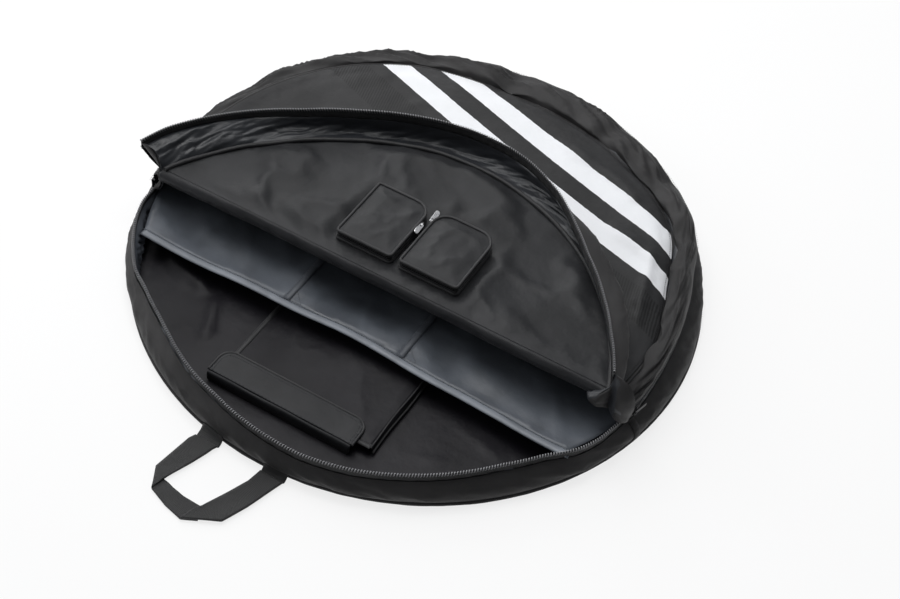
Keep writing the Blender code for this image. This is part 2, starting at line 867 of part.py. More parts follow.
def pull_plate(name, sizes, side, parts):
    """A flat pull with its eye; its origin is the middle of the bar that the bail holds."""
    length, width, thickness, bar, eye_reach, eye_width = sizes
    corner = width * pocket_wall_share**2
    outer = rounded_outline(-bar / 2, length, -width / 2, width / 2, (corner,) * 4, 3)
    eye = [
        (bar / 2, -eye_width / 2),
        (eye_reach, -eye_width / 2),
        (eye_reach, eye_width / 2),
        (bar / 2, eye_width / 2),
    ]
    made = plated_zinc(name + "_zinc")
    obj = outline_plate(name, outer, -thickness / 2, thickness, parts, made, [eye])
    turn = Matrix(((0, 0, side), (side, 0, 0), (0, 1, 0))).to_4x4()
    obj.data.transform(turn)
    return obj


def main_slider_outline(half_height):
    """The section of a main slider, across the zip: two plates joined by a web."""
    outer = zip_radius + coil_radius + slider_clearance
    inner = zip_radius - coil_radius - slider_clearance - facet_loss(zip_radius)
    web = slider_web / 2
    return (
        (inner - slider_plate, -half_height),
        (inner, -half_height),
        (inner, -web),
        (outer, -web),
        (outer, -half_height),
        (outer + slider_plate, -half_height),
        (outer + slider_plate, half_height),
        (outer, half_height),
        (outer, web),
        (inner, web),
        (inner, half_height),
        (inner - slider_plate, half_height),
    )


def build_main_slider(parts, cutters, label, angle, side):
    """One slider of the all-round zip with its pull, parked just behind the crease."""
    name = label + "_main_slider"
    sizes = (slider_length, slider_height, slider_nose_height)
    made = painted_zinc(name + "_zinc")
    slider = slider_solid(name, main_slider_outline, sizes, side, parts, made)
    base = zip_radius + coil_radius + slider_clearance + slider_plate
    bail = add_bail(slider, base, (bail_wire, bail_length, bail_rise, slider_plate / 2), cutters)
    place = Matrix.Rotation(angle, 4, "Z") @ Matrix.Translation((0, 0, zip_height))
    for piece in (slider, bail):
        piece.data.transform(place)
    pull_sizes = (
        pull_length,
        pull_width,
        pull_thickness,
        pull_bar,
        pull_eye_reach,
        pull_eye_width,
    )
    pull = pull_plate(label + "_main_pull", pull_sizes, side, parts)
    pull.matrix_world = place @ Matrix.Translation((base + pull_bar_rise, 0, 0))
    carry(pull, slider)


def small_slider_outline(half_height):
    """The section of a pocket slider, across its zip: a plate and a short web."""
    web = small_slider_web / 2
    outer = small_slider_clearance + small_slider_plate
    return (
        (-small_slider_web_depth, -web),
        (small_slider_clearance, -web),
        (small_slider_clearance, -half_height),
        (outer, -half_height),
        (outer, half_height),
        (small_slider_clearance, half_height),
        (small_slider_clearance, web),
        (-small_slider_web_depth, web),
    )


def build_pocket_slider(parts, cutters, fold, label, point, angle):
    """The slider and pull on the side wall of a skewer pocket."""
    name = label + "_pocket_slider"
    sizes = (small_slider_length, small_slider_height, small_slider_nose_height)
    made = painted_zinc(name + "_zinc")
    slider = slider_solid(name, small_slider_outline, sizes, -1, parts, made)
    base = small_slider_clearance + small_slider_plate
    sizes = (small_bail_wire, small_bail_length, small_bail_rise, small_slider_plate / 2)
    bail = add_bail(slider, base, sizes, cutters)
    place = Matrix.Translation(point) @ Matrix.Rotation(angle, 4, "Z")
    pull_sizes = (
        small_pull_length,
        small_pull_width,
        small_pull_thickness,
        small_pull_bar,
        small_pull_eye_reach,
        small_pull_eye_width,
    )
    pull = pull_plate(label + "_pocket_pull", pull_sizes, -1, parts)
    for piece in (slider, bail):
        piece.matrix_world = place
    pull.matrix_world = place @ Matrix.Translation((base + small_pull_bar_rise, 0, 0))
    carry(pull, slider)
    carry(bail, slider)
    carry(slider, fold)


def build_skewer_pockets(parts, cutters, fold):
    """The two skewer pockets and their zips, side by side near the crease."""
    small = pocket_small_corner
    round_corner = pocket_far_corner
    left = left_pocket_left
    right = right_pocket_left
    far = pocket_near_inset - crease_distance + pocket_length
    split = build_skewer_pocket(
        parts, cutters, fold, "left", left, left_pocket_width, (round_corner, small)
    )
    build_skewer_pocket(
        parts, cutters, fold, "right", right, right_pocket_width, (round_corner, round_corner)
    )
    point = (left + left_pocket_width, far - left_small_slider_inset, split)
    build_pocket_slider(parts, cutters, fold, "left", point, 0)
    point = (right, far - right_small_slider_inset, split)
    build_pocket_slider(parts, cutters, fold, "right", point, math.pi)


def main():
    """Builds the whole bag."""
    clear_scene()
    parts = new_collection("bike_wheel_bag")
    cutters = new_collection("bike_wheel_bag_cutters")
    build_back(parts)
    build_lower_gusset(parts)
    build_lower_zip(parts)
    fold = build_cover(parts, cutters)
    build_divider(parts, cutters)
    build_cargo_pocket(parts)
    build_skewer_pockets(parts, cutters, fold)
    build_handle(parts)
    build_main_slider(parts, cutters, "right", -slider_rest_angle, 1)
    build_main_slider(parts, cutters, "left", math.pi + slider_rest_angle, -1)


main()
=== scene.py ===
"""Looks of a bike wheel bag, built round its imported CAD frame.

The bag lies open on its back. Its cover is folded back across a chord, so every piece of the
front flap is laid out as if the bag were zipped shut and is then turned over the crease.
Units are metres, +Z is up, and the carry handle points towards -Y.
"""

import logging
import math
from dataclasses import dataclass
from enum import Enum
from typing import Callable, ClassVar, Optional, Sequence, Union

import bpy
import numpy as np
from mathutils import Matrix, Vector
from mathutils.geometry import delaunay_2d_cdt


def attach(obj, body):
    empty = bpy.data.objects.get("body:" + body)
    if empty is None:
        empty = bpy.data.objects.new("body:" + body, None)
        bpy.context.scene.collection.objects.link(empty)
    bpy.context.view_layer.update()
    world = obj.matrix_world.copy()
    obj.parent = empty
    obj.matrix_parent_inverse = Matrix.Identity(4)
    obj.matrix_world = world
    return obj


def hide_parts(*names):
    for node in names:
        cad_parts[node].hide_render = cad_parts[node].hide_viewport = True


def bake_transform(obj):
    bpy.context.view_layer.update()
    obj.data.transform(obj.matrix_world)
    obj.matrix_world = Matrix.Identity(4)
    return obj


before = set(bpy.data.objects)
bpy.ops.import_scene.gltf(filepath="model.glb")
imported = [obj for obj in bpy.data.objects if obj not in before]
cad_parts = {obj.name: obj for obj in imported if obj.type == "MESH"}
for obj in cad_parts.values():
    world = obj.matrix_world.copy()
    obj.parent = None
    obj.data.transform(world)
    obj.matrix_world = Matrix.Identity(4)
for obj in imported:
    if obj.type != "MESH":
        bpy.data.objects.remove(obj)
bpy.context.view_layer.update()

LOG = logging.getLogger("wheel_bag")

Colour = tuple[float, float, float]
Point = tuple[float, float, float]
Points = np.ndarray
Fold = tuple[tuple[float, float, float, float], float, float]


# Sizes that several pieces share

@dataclass(frozen=True)
class BagSizes:
    """The lines of the bag that its pieces are sewn along."""

    bulge: float = 0.3705
    zip_line: float = 0.3555
    cover_seam: float = 0.340
    crease: float = 0.114
    crease_height: float = 0.0853
    back_lining: float = 0.0071
    lower_coil: float = 0.0453
    upper_coil: float = 0.0497


BAG = BagSizes()


def folded(points: Points) -> Points:
    """Turns points of the closed cover half a turn over the crease.

    Args:
        points: Array whose last axis holds x, y, z with the bag zipped shut.

    Returns:
        The same points with the flap folded back.
    """
    made = np.array(points, float)
    made[..., 1] = -2 * BAG.crease - made[..., 1]
    made[..., 2] = 2 * BAG.crease_height - made[..., 2]
    return made


def smooth(t: Union[float, Points]) -> Union[float, Points]:
    """Eases 0 to 1."""
    t = np.clip(t, 0.0, 1.0)
    return t * t * (3 - 2 * t)


def grid(*parts: Union[float, Points]) -> Points:
    """Coordinates that are spread over each other's rows and columns, side by side in one array."""
    return np.stack(np.broadcast_arrays(*parts), axis=-1)


def raised(flat: Points, height: float) -> Points:
    """Flat points at a height."""
    return grid(flat[:, 0], flat[:, 1], height)


def unit(vectors: Points) -> Points:
    """The same directions, each one long."""
    return vectors / np.linalg.norm(vectors, axis=-1, keepdims=True)


def upward(path: Points, way: float = 1.0) -> Points:
    """Straight up, or down for a way of -1, at each point of a path."""
    return np.tile([0.0, 0.0, way], (len(path), 1))


def headings(line: Points, closed: bool) -> Points:
    """Which way a line runs at each of its points.

    Args:
        line: Its points in order.
        closed: Whether the line runs back to its first point.

    Returns:
        One vector for each point, of no set length.
    """
    ahead = np.roll(line, -1, axis=0) - np.roll(line, 1, axis=0)
    if not closed:
        ahead[0], ahead[-1] = line[1] - line[0], line[-1] - line[-2]
    return ahead


def run_lengths(line: Points, closed: bool = False) -> Points:
    """Distance along a line to each of its points, and back to the first where it closes."""
    ring = np.concatenate([line, line[:1]]) if closed else line
    return np.concatenate([[0.0], np.cumsum(np.linalg.norm(np.diff(ring, axis=0), axis=1))])


def spread(rows: Points, length: Points, places: Points) -> Points:
    """What the rows say along a line, at other places along it.

    Args:
        rows: One row for each point of the line.
        length: Distance along the line to each row.
        places: Distances to read the rows at.

    Returns:
        One row for each place.
    """
    return np.stack([np.interp(places, length, column) for column in rows.T], axis=1)


def resample(path: Points, spacing: float, closed: bool = False) -> Points:
    """Points at an even spacing along a line.

    Args:
        path: The line's points.
        spacing: Wanted distance between the new points.
        closed: Whether the line runs back to its first point.

    Returns:
        The new points.
    """
    line = np.concatenate([path, path[:1]]) if closed else path
    length = run_lengths(line)
    places = np.linspace(0, length[-1], max(2, int(round(length[-1] / spacing))) + 1)
    return spread(line, length, places[:-1] if closed else places)


class Creases:
    """Smooth seeded noise over flat cloth, for undulation, crinkles and folds."""

    cells: ClassVar[int] = 64

    def __init__(self, seed: int) -> None:
        """Draws the lattice of gradients.

        Args:
            seed: Which of the fixed patterns to use.
        """
        draw = np.random.default_rng(seed)
        turn = draw.uniform(0, 2 * math.pi, (self.cells, self.cells))
        self.lattice = np.stack([np.cos(turn), np.sin(turn)], axis=-1)

    def __call__(self, across: Points, along: Points) -> Points:
        """Noise from about -1 to 1.

        Args:
            across: First flat coordinate, in lattice cells.
            along: Second flat coordinate, in lattice cells.

        Returns:
            One value for each pair.
        """
        left, foot = np.floor(across).astype(int), np.floor(along).astype(int)
        x, y = across - left, along - foot
        ease_x, ease_y = smooth(x), smooth(y)
        total = 0.0
        for dx, wx in ((0, 1 - ease_x), (1, ease_x)):
            for dy, wy in ((0, 1 - ease_y), (1, ease_y)):
                slope = self.lattice[(left + dx) % self.cells, (foot + dy) % self.cells]
                total = total + wx * wy * (slope[..., 0] * (x - dx) + slope[..., 1] * (y - dy))
        return total * 1.5

    def layered(self, across: Points, along: Points, layers: int = 3) -> Points:
        """Several sizes of noise on top of each other.

        Args:
            across: First flat coordinate, in lattice cells.
            along: Second flat coordinate, in lattice cells.
            layers: How many sizes to add up.

        Returns:
            One value for each pair.
        """
        total = 0.0
        for level in range(layers):
            shift = 7.3 * level
            scale = 2.03**level
            total = total + self(across * scale + shift, along * scale - shift) / 1.9**level
        return total

    def ridges(self, across: Points, along: Points, sharpness: float = 2.0) -> Points:
        """Thin raised folds between smooth hollows, from 0 to 1."""
        return np.clip(1 - np.abs(self.layered(across, along, 2)), 0, 1) ** sharpness


# Meshes

@dataclass
class Patch:
    """A flat-cut piece of cloth as points, faces and its coordinates before it was sewn."""

    points: Points
    faces: list[tuple[int, ...]]
    flat: Points
    corner_flat: Optional[list[tuple[float, float]]] = None

    def area(self, points: Points) -> float:
        """Area of the faces over three-dimensional points.

        Args:
            points: Where the patch's points lie.

        Returns:
            Square metres.
        """
        fans = [(face[0], b, c) for face in self.faces for b, c in zip(face[1:-1], face[2:])]
        corners = points[np.array(fans)]
        halves = np.cross(corners[:, 1] - corners[:, 0], corners[:, 2] - corners[:, 0])
        return float(np.linalg.norm(halves, axis=1).sum()) / 2

    def cut(self) -> "Cut":
        """What the piece was cut to: its flat shape, with the cloth that its folds take up.

        Returns:
            The shape that the sewn cloth is measured against.
        """
        laid = self.area(self.points)
        if self.corner_flat is not None:
            size = np.ptp(np.array(self.corner_flat), axis=0)
            flat_area = float(size.prod())
        else:
            size = np.ptp(self.flat, axis=0)
            flat_area = self.area(np.column_stack([self.flat, np.zeros(len(self.flat))]))
        grown = math.sqrt(laid / flat_area)
        width, length = (float(side) * grown for side in size)
        return Cut(width, length, min(laid, width * length))


@dataclass(frozen=True)
class Cut:
    """Width, length and area of a piece of cloth before it was sewn, in metres."""

    width: float
    length: float
    area: float


def quads(
    shape: tuple[int, int], flat: Points, wrap: tuple[bool, bool], flip: bool = False
) -> tuple[list[tuple[int, ...]], list[tuple[float, float]]]:
    """Four-sided faces between rows and columns of points.

    Args:
        shape: Number of rows and of columns.
        flat: Flat coordinates, with one row or column more where those wrap.
        wrap: Whether the rows, and the columns, close on themselves.
        flip: Turns the faces over.

    Returns:
        Corner numbers of each face, and the flat coordinates of each corner.
    """
    rows, columns = shape
    order = ((0, 0), (1, 0), (1, 1), (0, 1)) if flip else ((0, 0), (0, 1), (1, 1), (1, 0))
    faces: list[tuple[int, ...]] = []
    corners: list[tuple[float, float]] = []
    for row in range(rows if wrap[0] else rows - 1):
        for column in range(columns if wrap[1] else columns - 1):
            places = [(row + down, column + over) for down, over in order]
            faces.append(tuple((r % rows) * columns + c % columns for r, c in places))
            corners.extend((float(flat[r, c, 0]), float(flat[r, c, 1])) for r, c in places)
    return faces, corners


def grid_patch(points: Points, flat: Points, closed: bool = False) -> Patch:
    """Joins rows and columns of points into faces.

    Args:
        points: Array of rows, columns and x, y, z. The face normals follow columns x rows.
        flat: Flat coordinates; one column more than points when the columns close.
        closed: Whether the last column meets the first.

    Returns:
        The patch.
    """
    faces, corners = quads(points.shape[:2], flat, (False, closed))
    return Patch(points.reshape(-1, 3), faces, flat[:, : points.shape[1]].reshape(-1, 2), corners)


def outline_patch(outline: Points, spacing: float, seed: int) -> Patch:
    """Fills a flat outline with even triangles.

    Args:
        outline: Corner points x, y of a closed line, without the first repeated.
        spacing: Length of a triangle's side.
        seed: Pattern of the small random offsets.

    Returns:
        The patch, at height 0.
    """
    line: list[Points] = []
    for start, end in zip(outline, np.roll(outline, -1, axis=0)):
        steps = max(1, int(round(np.linalg.norm(end - start) / spacing)))
        line.extend(start + (end - start) * k / steps for k in range(steps))
    border = np.array(line)
    low, high = border.min(0), border.max(0)
    rise = spacing * math.sqrt(3) / 2
    draw = np.random.default_rng(seed)
    rows = np.arange(low[1], high[1], rise)
    inner: list[tuple[float, float]] = []
    for index, y in enumerate(rows):
        xs = np.arange(low[0] + (index % 2) * spacing / 2, high[0], spacing)
        row = np.stack([xs, np.full_like(xs, y)], axis=1)
        row += draw.uniform(-0.12, 0.12, row.shape) * spacing
        inner.extend(map(tuple, row))
    points = np.array(inner)
    everything = np.concatenate([border, points[inside(points, border, 0.55 * spacing)]])
    ring = [(i, (i + 1) % len(border)) for i in range(len(border))]
    made = delaunay_2d_cdt([Vector(p) for p in everything], ring, [], 1, 1e-7)
    flat = np.array([tuple(v) for v in made[0]], float)
    return Patch(raised(flat, 0.0), [tuple(face) for face in made[2]], flat)


def inside(points: Points, border: Points, margin: float) -> Points:
    """Which points lie inside a closed line by at least a margin.

    Args:
        points: Flat points to test.
        border: The closed line.
        margin: Least distance from the line.

    Returns:
        True or false for each point.
    """
    x, y = points[:, 0:1], points[:, 1:2]
    start, end = border, np.roll(border, -1, axis=0)
    spans = (start[:, 1] > y) != (end[:, 1] > y)
    with np.errstate(divide="ignore", invalid="ignore"):
        cross = start[:, 0] + (y - start[:, 1]) * (
            end[:, 0] - start[:, 0]
        ) / (end[:, 1] - start[:, 1])
    held = (np.sum(spans & (x < cross), axis=1) % 2).astype(bool)
    return held & (gap_to_line(points, border) > margin)


def gap_to_line(points: Points, border: Points) -> Points:
    """Distance from each flat point to a closed line of flat points.

    Args:
        points: Flat points to measure from.
        border: The closed line.

    Returns:
        Metres for each point.
    """
    best = np.full(len(points), np.inf)
    for a, b in zip(border, np.roll(border, -1, axis=0)):
        span = b - a
        share = np.clip((points - a) @ span / max(float(span @ span), 1e-12), 0, 1)
        best = np.minimum(best, np.linalg.norm(points - a - share[:, None] * span, axis=1))
    return best


def arc_points(radius: float, start: float, end: float, steps: int) -> Points:
    """Points x, y on a circle round the origin, between two angles."""
    turn = np.linspace(start, end, steps)
    return np.stack([radius * np.cos(turn), radius * np.sin(turn)], axis=1)


def rounded_box(low: Sequence[float], high: Sequence[float], radii: Sequence[float]) -> Points:
    """A flat rectangle with four corner radii, anticlockwise from the lowest corner.

    Args:
        low: Lowest x and y.
        high: Highest x and y.
        radii: Corner radii, from the lowest corner round.

    Returns:
        Points of the closed outline.
    """
    corners = ((low[0], low[1]), (high[0], low[1]), (high[0], high[1]), (low[0], high[1]))
    made: list[Points] = []
    for index, (corner, radius) in enumerate(zip(corners, radii)):
        turn = math.pi + index * math.pi / 2
        inward = np.array([-math.cos(turn + math.pi / 4), -math.sin(turn + math.pi / 4)])
        centre = np.array(corner) + inward * radius * math.sqrt(2)
        steps = 7 if radius > 0.002 else 3
        for angle in np.linspace(turn, turn + math.pi / 2, steps):
            made.append(centre + radius * np.array([math.cos(angle), math.sin(angle)]))
    return np.array(made)


def mesh_object(
    name: str, patch: Patch, finish: "Finish", smooth_faces: bool = True
) -> bpy.types.Object:
    """Puts a patch into the scene.

    Args:
        name: Piece name.
        patch: Points, faces and flat coordinates.
        finish: What it is made of.
        smooth_faces: Whether light runs smoothly over the faces.

    Returns:
        The object.
    """
    mesh = bpy.data.meshes.new(name)
    mesh.from_pydata(patch.points.tolist(), [], patch.faces)
    mesh.update()
    if patch.corner_flat is not None:
        corners = np.array(patch.corner_flat, np.float32)
    else:
        index = np.concatenate([np.array(face) for face in patch.faces])
        corners = patch.flat[index].astype(np.float32)
    mesh.uv_layers.new(name="flat").data.foreach_set("uv", corners.ravel())
    if smooth_faces:
        mesh.shade_smooth()
        patch.cut()
    obj = bpy.data.objects.new(name, mesh)
    bpy.context.scene.collection.objects.link(obj)
    mesh.materials.append(finish.material())
    return obj


def thicken(obj: bpy.types.Object, thickness: float, offset: float = 0.0) -> bpy.types.Object:
    """Gives a sheet its cloth thickness; offset -1 grows it away from its normals.

    Args:
        obj: The sheet.
        thickness: Metres of cloth.
        offset: 0 grows it to both sides, 1 along its normals and -1 against them.

    Returns:
        The same object.
    """
    shell = obj.modifiers.new("cloth_thickness", "SOLIDIFY")
    shell.thickness = thickness
    shell.offset = offset
    shell.use_even_offset = False
    return obj


def fine(obj: bpy.types.Object) -> bpy.types.Object:
    """Subdivides a mesh smoothly, once.

    Args:
        obj: Mesh object.

    Returns:
        The same object.
    """
    step = obj.modifiers.new("fine", "SUBSURF")
    step.levels = step.render_levels = 1
    return obj


def sweep(path: Points, section: Points, closed: bool, up: Optional[Points] = None) -> Patch:
    """Carries a cross-section along a line of points.

    Args:
        path: Points x, y, z of the line.
        section: Points of the section: first sideways, then up.
        closed: Whether the line closes on itself.
        up: A direction for each point that the section's second axis follows.

    Returns:
        The patch of the closed section.
    """
    ahead = unit(headings(path, closed))
    side = unit(np.cross(ahead, upward(path) if up is None else up))
    rise = np.cross(side, ahead)
    rows = path[:, None] + section[None, :, 0:1] * side[:, None]
    rows = rows + section[None, :, 1:2] * rise[:, None]
    columns = len(section)
    turn = np.linspace(0, 1, columns + 1) * run_lengths(section, True)[-1]
    flat = grid(run_lengths(path, closed)[:, None], turn[None, :])
    faces, corners = quads((len(path), columns), flat, (closed, True), True)
    if not closed:
        faces.append(tuple(range(columns))[::-1])
        faces.append(tuple((len(path) - 1) * columns + c for c in range(columns)))
        for c in (*range(columns)[::-1], *range(columns)):
            corners.append((float(section[c, 0]), float(section[c, 1])))
    points = rows.reshape(-1, 3)
    return Patch(points, faces, np.zeros((len(points), 2)), corners)


def round_profile(radius: float, sides: int) -> Points:
    """A round section."""
    turn = np.arange(sides) * 2 * math.pi / sides
    return np.stack([radius * np.cos(turn), radius * np.sin(turn)], axis=1)


def join_patches(patches: Sequence[Patch]) -> Patch:
    """Several patches as one, for pieces such as rows of stitches.

    Args:
        patches: Patches in order.

    Returns:
        One patch with all their points and faces.
    """
    points, faces, corners, start = [], [], [], 0
    for patch in patches:
        points.append(patch.points)
        faces.extend(tuple(index + start for index in face) for face in patch.faces)
        if patch.corner_flat is not None:
            corners.extend(patch.corner_flat)
        else:
            corners.extend(
                tuple(map(float, patch.flat[index])) for face in patch.faces for index in face
            )
        start += len(patch.points)
    together = np.concatenate(points)
    return Patch(together, faces, np.zeros((len(together), 2)), corners)


@dataclass(frozen=True)
class StitchRow:
    """A row of lock stitches in thick thread."""

    length: float = 0.0026
    gap: float = 0.0011
    width: float = 0.0006
    height: float = 0.0004
    flat_part: float = 0.56

    def patch(self, path: Points, normals: Points, closed: bool = False) -> Patch:
        """Lays small raised stitches along a line.

        Args:
            path: Points x, y, z of the seam.
            normals: Which way is out of the cloth, at each point.
            closed: Whether the seam closes on itself.

        Returns:
            All stitches as one patch.
        """
        both = np.concatenate([path, normals], axis=1)
        pitch = self.length + self.gap
        line = np.concatenate([both, both[:1]]) if closed else both
        length = run_lengths(line[:, :3])
        starts = np.arange(0.0, max(length[-1] - self.length, pitch), pitch)
        begin, finish = (spread(line, length, places) for places in (starts, starts + self.length))
        ahead = finish[:, :3] - begin[:, :3]
        ahead /= np.maximum(np.linalg.norm(ahead, axis=1, keepdims=True), 1e-9)
        out = begin[:, 3:] / np.maximum(np.linalg.norm(begin[:, 3:], axis=1, keepdims=True), 1e-9)
        side = np.cross(ahead, out) * self.width / 2
        middle = (begin[:, :3] + finish[:, :3]) / 2
        top = out * self.height
        body = ahead * self.length * self.flat_part / 2
        eight = (
            begin[:, :3],
            middle - body + side,
            middle - body - side,
            middle - body + top,
            middle + body + side,
            middle + body - side,
            middle + body + top,
            finish[:, :3],
        )
        points = np.stack(eight, axis=1).reshape(-1, 3)
        one = ((0, 1, 3), (0, 3, 2), (1, 4, 6, 3), (3, 6, 5, 2), (4, 7, 6), (6, 7, 5))
        faces = [tuple(index + 8 * k for index in face) for k in range(len(starts)) for face in one]
        return Patch(points, faces, np.zeros((len(points), 2)))


def ride_as(obj: bpy.types.Object, body: str, slot: str, *nodes: str) -> bpy.types.Object:
    """Sets what a piece moves with and hides the CAD nodes that it stands for.

    Args:
        obj: The finished piece.
        body: CAD body.
        slot: Not used.
        nodes: CAD nodes that it replaces.

    Returns:
        The piece.
    """
    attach(obj, body)
    if nodes:
        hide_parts(*nodes)
    LOG.info("%s rides on %s", obj.name, body)
    return obj


# Shader graph

Socketed = Union["Signal", float, Colour, Point]


class Signal:
    """The output of a shader node, with the usual operators for numbers and vectors."""

    def __init__(self, graph: "Graph", socket: bpy.types.NodeSocket) -> None:
        """Wraps an output socket."""
        self.graph = graph
        self.socket = socket

    def _with(self, operation: str, first: Socketed, second: Socketed) -> "Signal":
        """Adds the Math or Vector Math node that an operator stands for.

        Args:
            operation: The node's operation.
            first: First input.
            second: Second input.

        Returns:
            The node's output.
        """
        wide = any(isinstance(v, tuple) or getattr(v, "is_wide", False) for v in (first, second))
        kind = "ShaderNodeVectorMath" if wide else "ShaderNodeMath"
        return self.graph.node(kind, {"operation": operation}, {0: first, 1: second})

    @property
    def is_wide(self) -> bool:
        """Whether this is a vector or colour."""
        return self.socket.type in ("VECTOR", "RGBA")

    def __add__(self, other: Socketed) -> "Signal":
        """self + other."""
        return self._with("ADD", self, other)

    def __radd__(self, other: Socketed) -> "Signal":
        """other + self."""
        return self._with("ADD", other, self)

    def __sub__(self, other: Socketed) -> "Signal":
        """self - other."""
        return self._with("SUBTRACT", self, other)

    def __rsub__(self, other: Socketed) -> "Signal":
        """other - self."""
        return self._with("SUBTRACT", other, self)

    def __mul__(self, other: Socketed) -> "Signal":
        """self * other."""
        return self._with("MULTIPLY", self, other)

    def __rmul__(self, other: Socketed) -> "Signal":
        """other * self."""
        return self._with("MULTIPLY", other, self)

    def __gt__(self, limit: float) -> "Signal":
        """1 where self is over the limit."""
        return self._with("GREATER_THAN", self, limit)

    def __lt__(self, limit: float) -> "Signal":
        """1 where self is under the limit."""
        return self._with("LESS_THAN", self, limit)

    def __abs__(self) -> "Signal":
        """Distance from zero."""
        return self.graph.node("ShaderNodeMath", {"operation": "ABSOLUTE"}, {0: self})

    def sine(self) -> "Signal":
        """Sine of self in radians."""
        return self.graph.node("ShaderNodeMath", {"operation": "SINE"}, {0: self})

    def repeat(self, span: float) -> "Signal":
        """What is left after whole spans, never negative.

        Args:
            span: Length of one span.

        Returns:
            The rest.
        """
        return self.graph.node(
            "ShaderNodeMath", {"operation": "FLOORED_MODULO"}, {0: self, 1: span}
        )

    def ramp(self, low: float, high: float, start: float = 0.0, end: float = 1.0) -> "Signal":
        """Eases from start to end while self goes from low to high."""
        values = {"Value": self, "From Min": low, "From Max": high, "To Min": start, "To Max": end}
        return self.graph.node("ShaderNodeMapRange", {"interpolation_type": "SMOOTHSTEP"}, values)


class Graph:
    """Builds the nodes of one material, or of the world."""

    def __init__(self, name: str, tree: Optional[bpy.types.NodeTree] = None) -> None:
        """Starts empty, with a new material unless a tree is given.

        Args:
            name: Name of the new material.
            tree: A node tree to build in, in place of a new material's.
        """
        self.material = None
        if tree is None:
            self.material = bpy.data.materials.new(name)
            self.material.use_nodes = True
            tree = self.material.node_tree
        self.tree = tree
        self.tree.nodes.clear()
        self.place = 0

    def node(
        self, kind: str, settings: dict, sockets: dict, output: Union[int, str] = 0
    ) -> Optional[Signal]:
        """Adds a node.

        Args:
            kind: Blender's type name.
            settings: Its properties, which are set first.
            sockets: Values or signals for its inputs, by name or number.
            output: Which output to hand back.

        Returns:
            The output as a signal.
        """
        made = self.tree.nodes.new(kind)
        made.location = (180 * (self.place % 8), -220 * (self.place // 8))
        self.place += 1
        for key, value in settings.items():
            setattr(made, key, value)
        for key, value in sockets.items():
            target = made.inputs[key]
            if isinstance(value, Signal):
                self.tree.links.new(value.socket, target)
            elif isinstance(value, tuple) and target.type == "RGBA":
                target.default_value = (*value, 1.0)
            else:
                target.default_value = value
        return Signal(self, made.outputs[output]) if made.outputs else None

    def flat(self) -> Signal:
        """Flat coordinates of the cloth, in metres."""
        return self.node("ShaderNodeUVMap", {"uv_map": "flat"}, {}, "UV")

    def place_in_frame(self) -> Signal:
        """Object coordinates, in metres."""
        return self.node("ShaderNodeTexCoord", {}, {}, "Object")

    def split(self, vector: Signal) -> tuple[Signal, Signal, Signal]:
        """The three parts of a vector.

        Args:
            vector: The vector to take apart.

        Returns:
            Its x, y and z.
        """
        first = self.node("ShaderNodeSeparateXYZ", {}, {0: vector}, 0)
        node = first.socket.node
        return first, Signal(self, node.outputs[1]), Signal(self, node.outputs[2])

    def noise(
        self, where: Signal, per_metre: float, detail: float = 2.0, rough: float = 0.5
    ) -> Signal:
        """Soft noise from 0 to 1."""
        sockets = {"Vector": where, "Scale": per_metre, "Detail": detail, "Roughness": rough}
        return self.node("ShaderNodeTexNoise", {}, sockets, "Fac")

    def blend(self, share: Socketed, first: Socketed, second: Socketed) -> Signal:
        """A colour between two colours."""
        return self.node("ShaderNodeMix", {"data_type": "RGBA"}, {0: share, 6: first, 7: second}, 2)

    def mottled(self, cloud: Signal, colour: Colour, dark: float, light: float) -> Signal:
        """A colour that drifts between a darker and a lighter shade of itself."""
        return self.blend(cloud.ramp(0.3, 0.7), shade(colour, dark), shade(colour, light))

    def plain_weave(self, across: Signal, along: Signal, thread: float) -> Signal:
        """Height of threads that cross over and under each other, from -1 to 1."""
        turn = math.pi / thread
        return (across * turn).sine() * (along * turn).sine()

    def attribute(self, name: str) -> Signal:
        """A number that the mesh carries at each point."""
        return self.node("ShaderNodeAttribute", {"attribute_name": name}, {}, "Fac")

    def bump(self, height: Signal, distance: float, strength: float = 1.0) -> Signal:
        """A bumped normal; distance is the height in metres that 1 stands for."""
        sockets = {"Height": height, "Distance": distance, "Strength": strength}
        return self.node("ShaderNodeBump", {}, sockets, "Normal")

    def surface(self, **sockets: Socketed) -> bpy.types.Material:
        """Finishes the material with one Principled shader.

        Args:
            sockets: Inputs of the shader, with _ for a space.

        Returns:
            The material.
        """
        named = {key.replace("_", " "): value for key, value in sockets.items()}
        shader = self.node("ShaderNodeBsdfPrincipled", {}, named)
        self.node("ShaderNodeOutputMaterial", {}, {"Surface": shader})
        return self.material


def shade(colour: Colour, factor: float) -> Colour:
    """A colour made lighter or darker."""
    return tuple(min(1.0, c * factor) for c in colour)


# Finishes

class Finish:
    """Something a piece is made of; its material is built once."""

    made: ClassVar[dict["Finish", bpy.types.Material]] = {}

    def build(self) -> bpy.types.Material:
        """Builds the material; each finish has its own."""
        raise NotImplementedError

    def material(self) -> bpy.types.Material:
        """The finish's one material.

        Returns:
            The material, built when it is first asked for.
        """
        if self not in Finish.made:
            Finish.made[self] = self.build()
        return Finish.made[self]


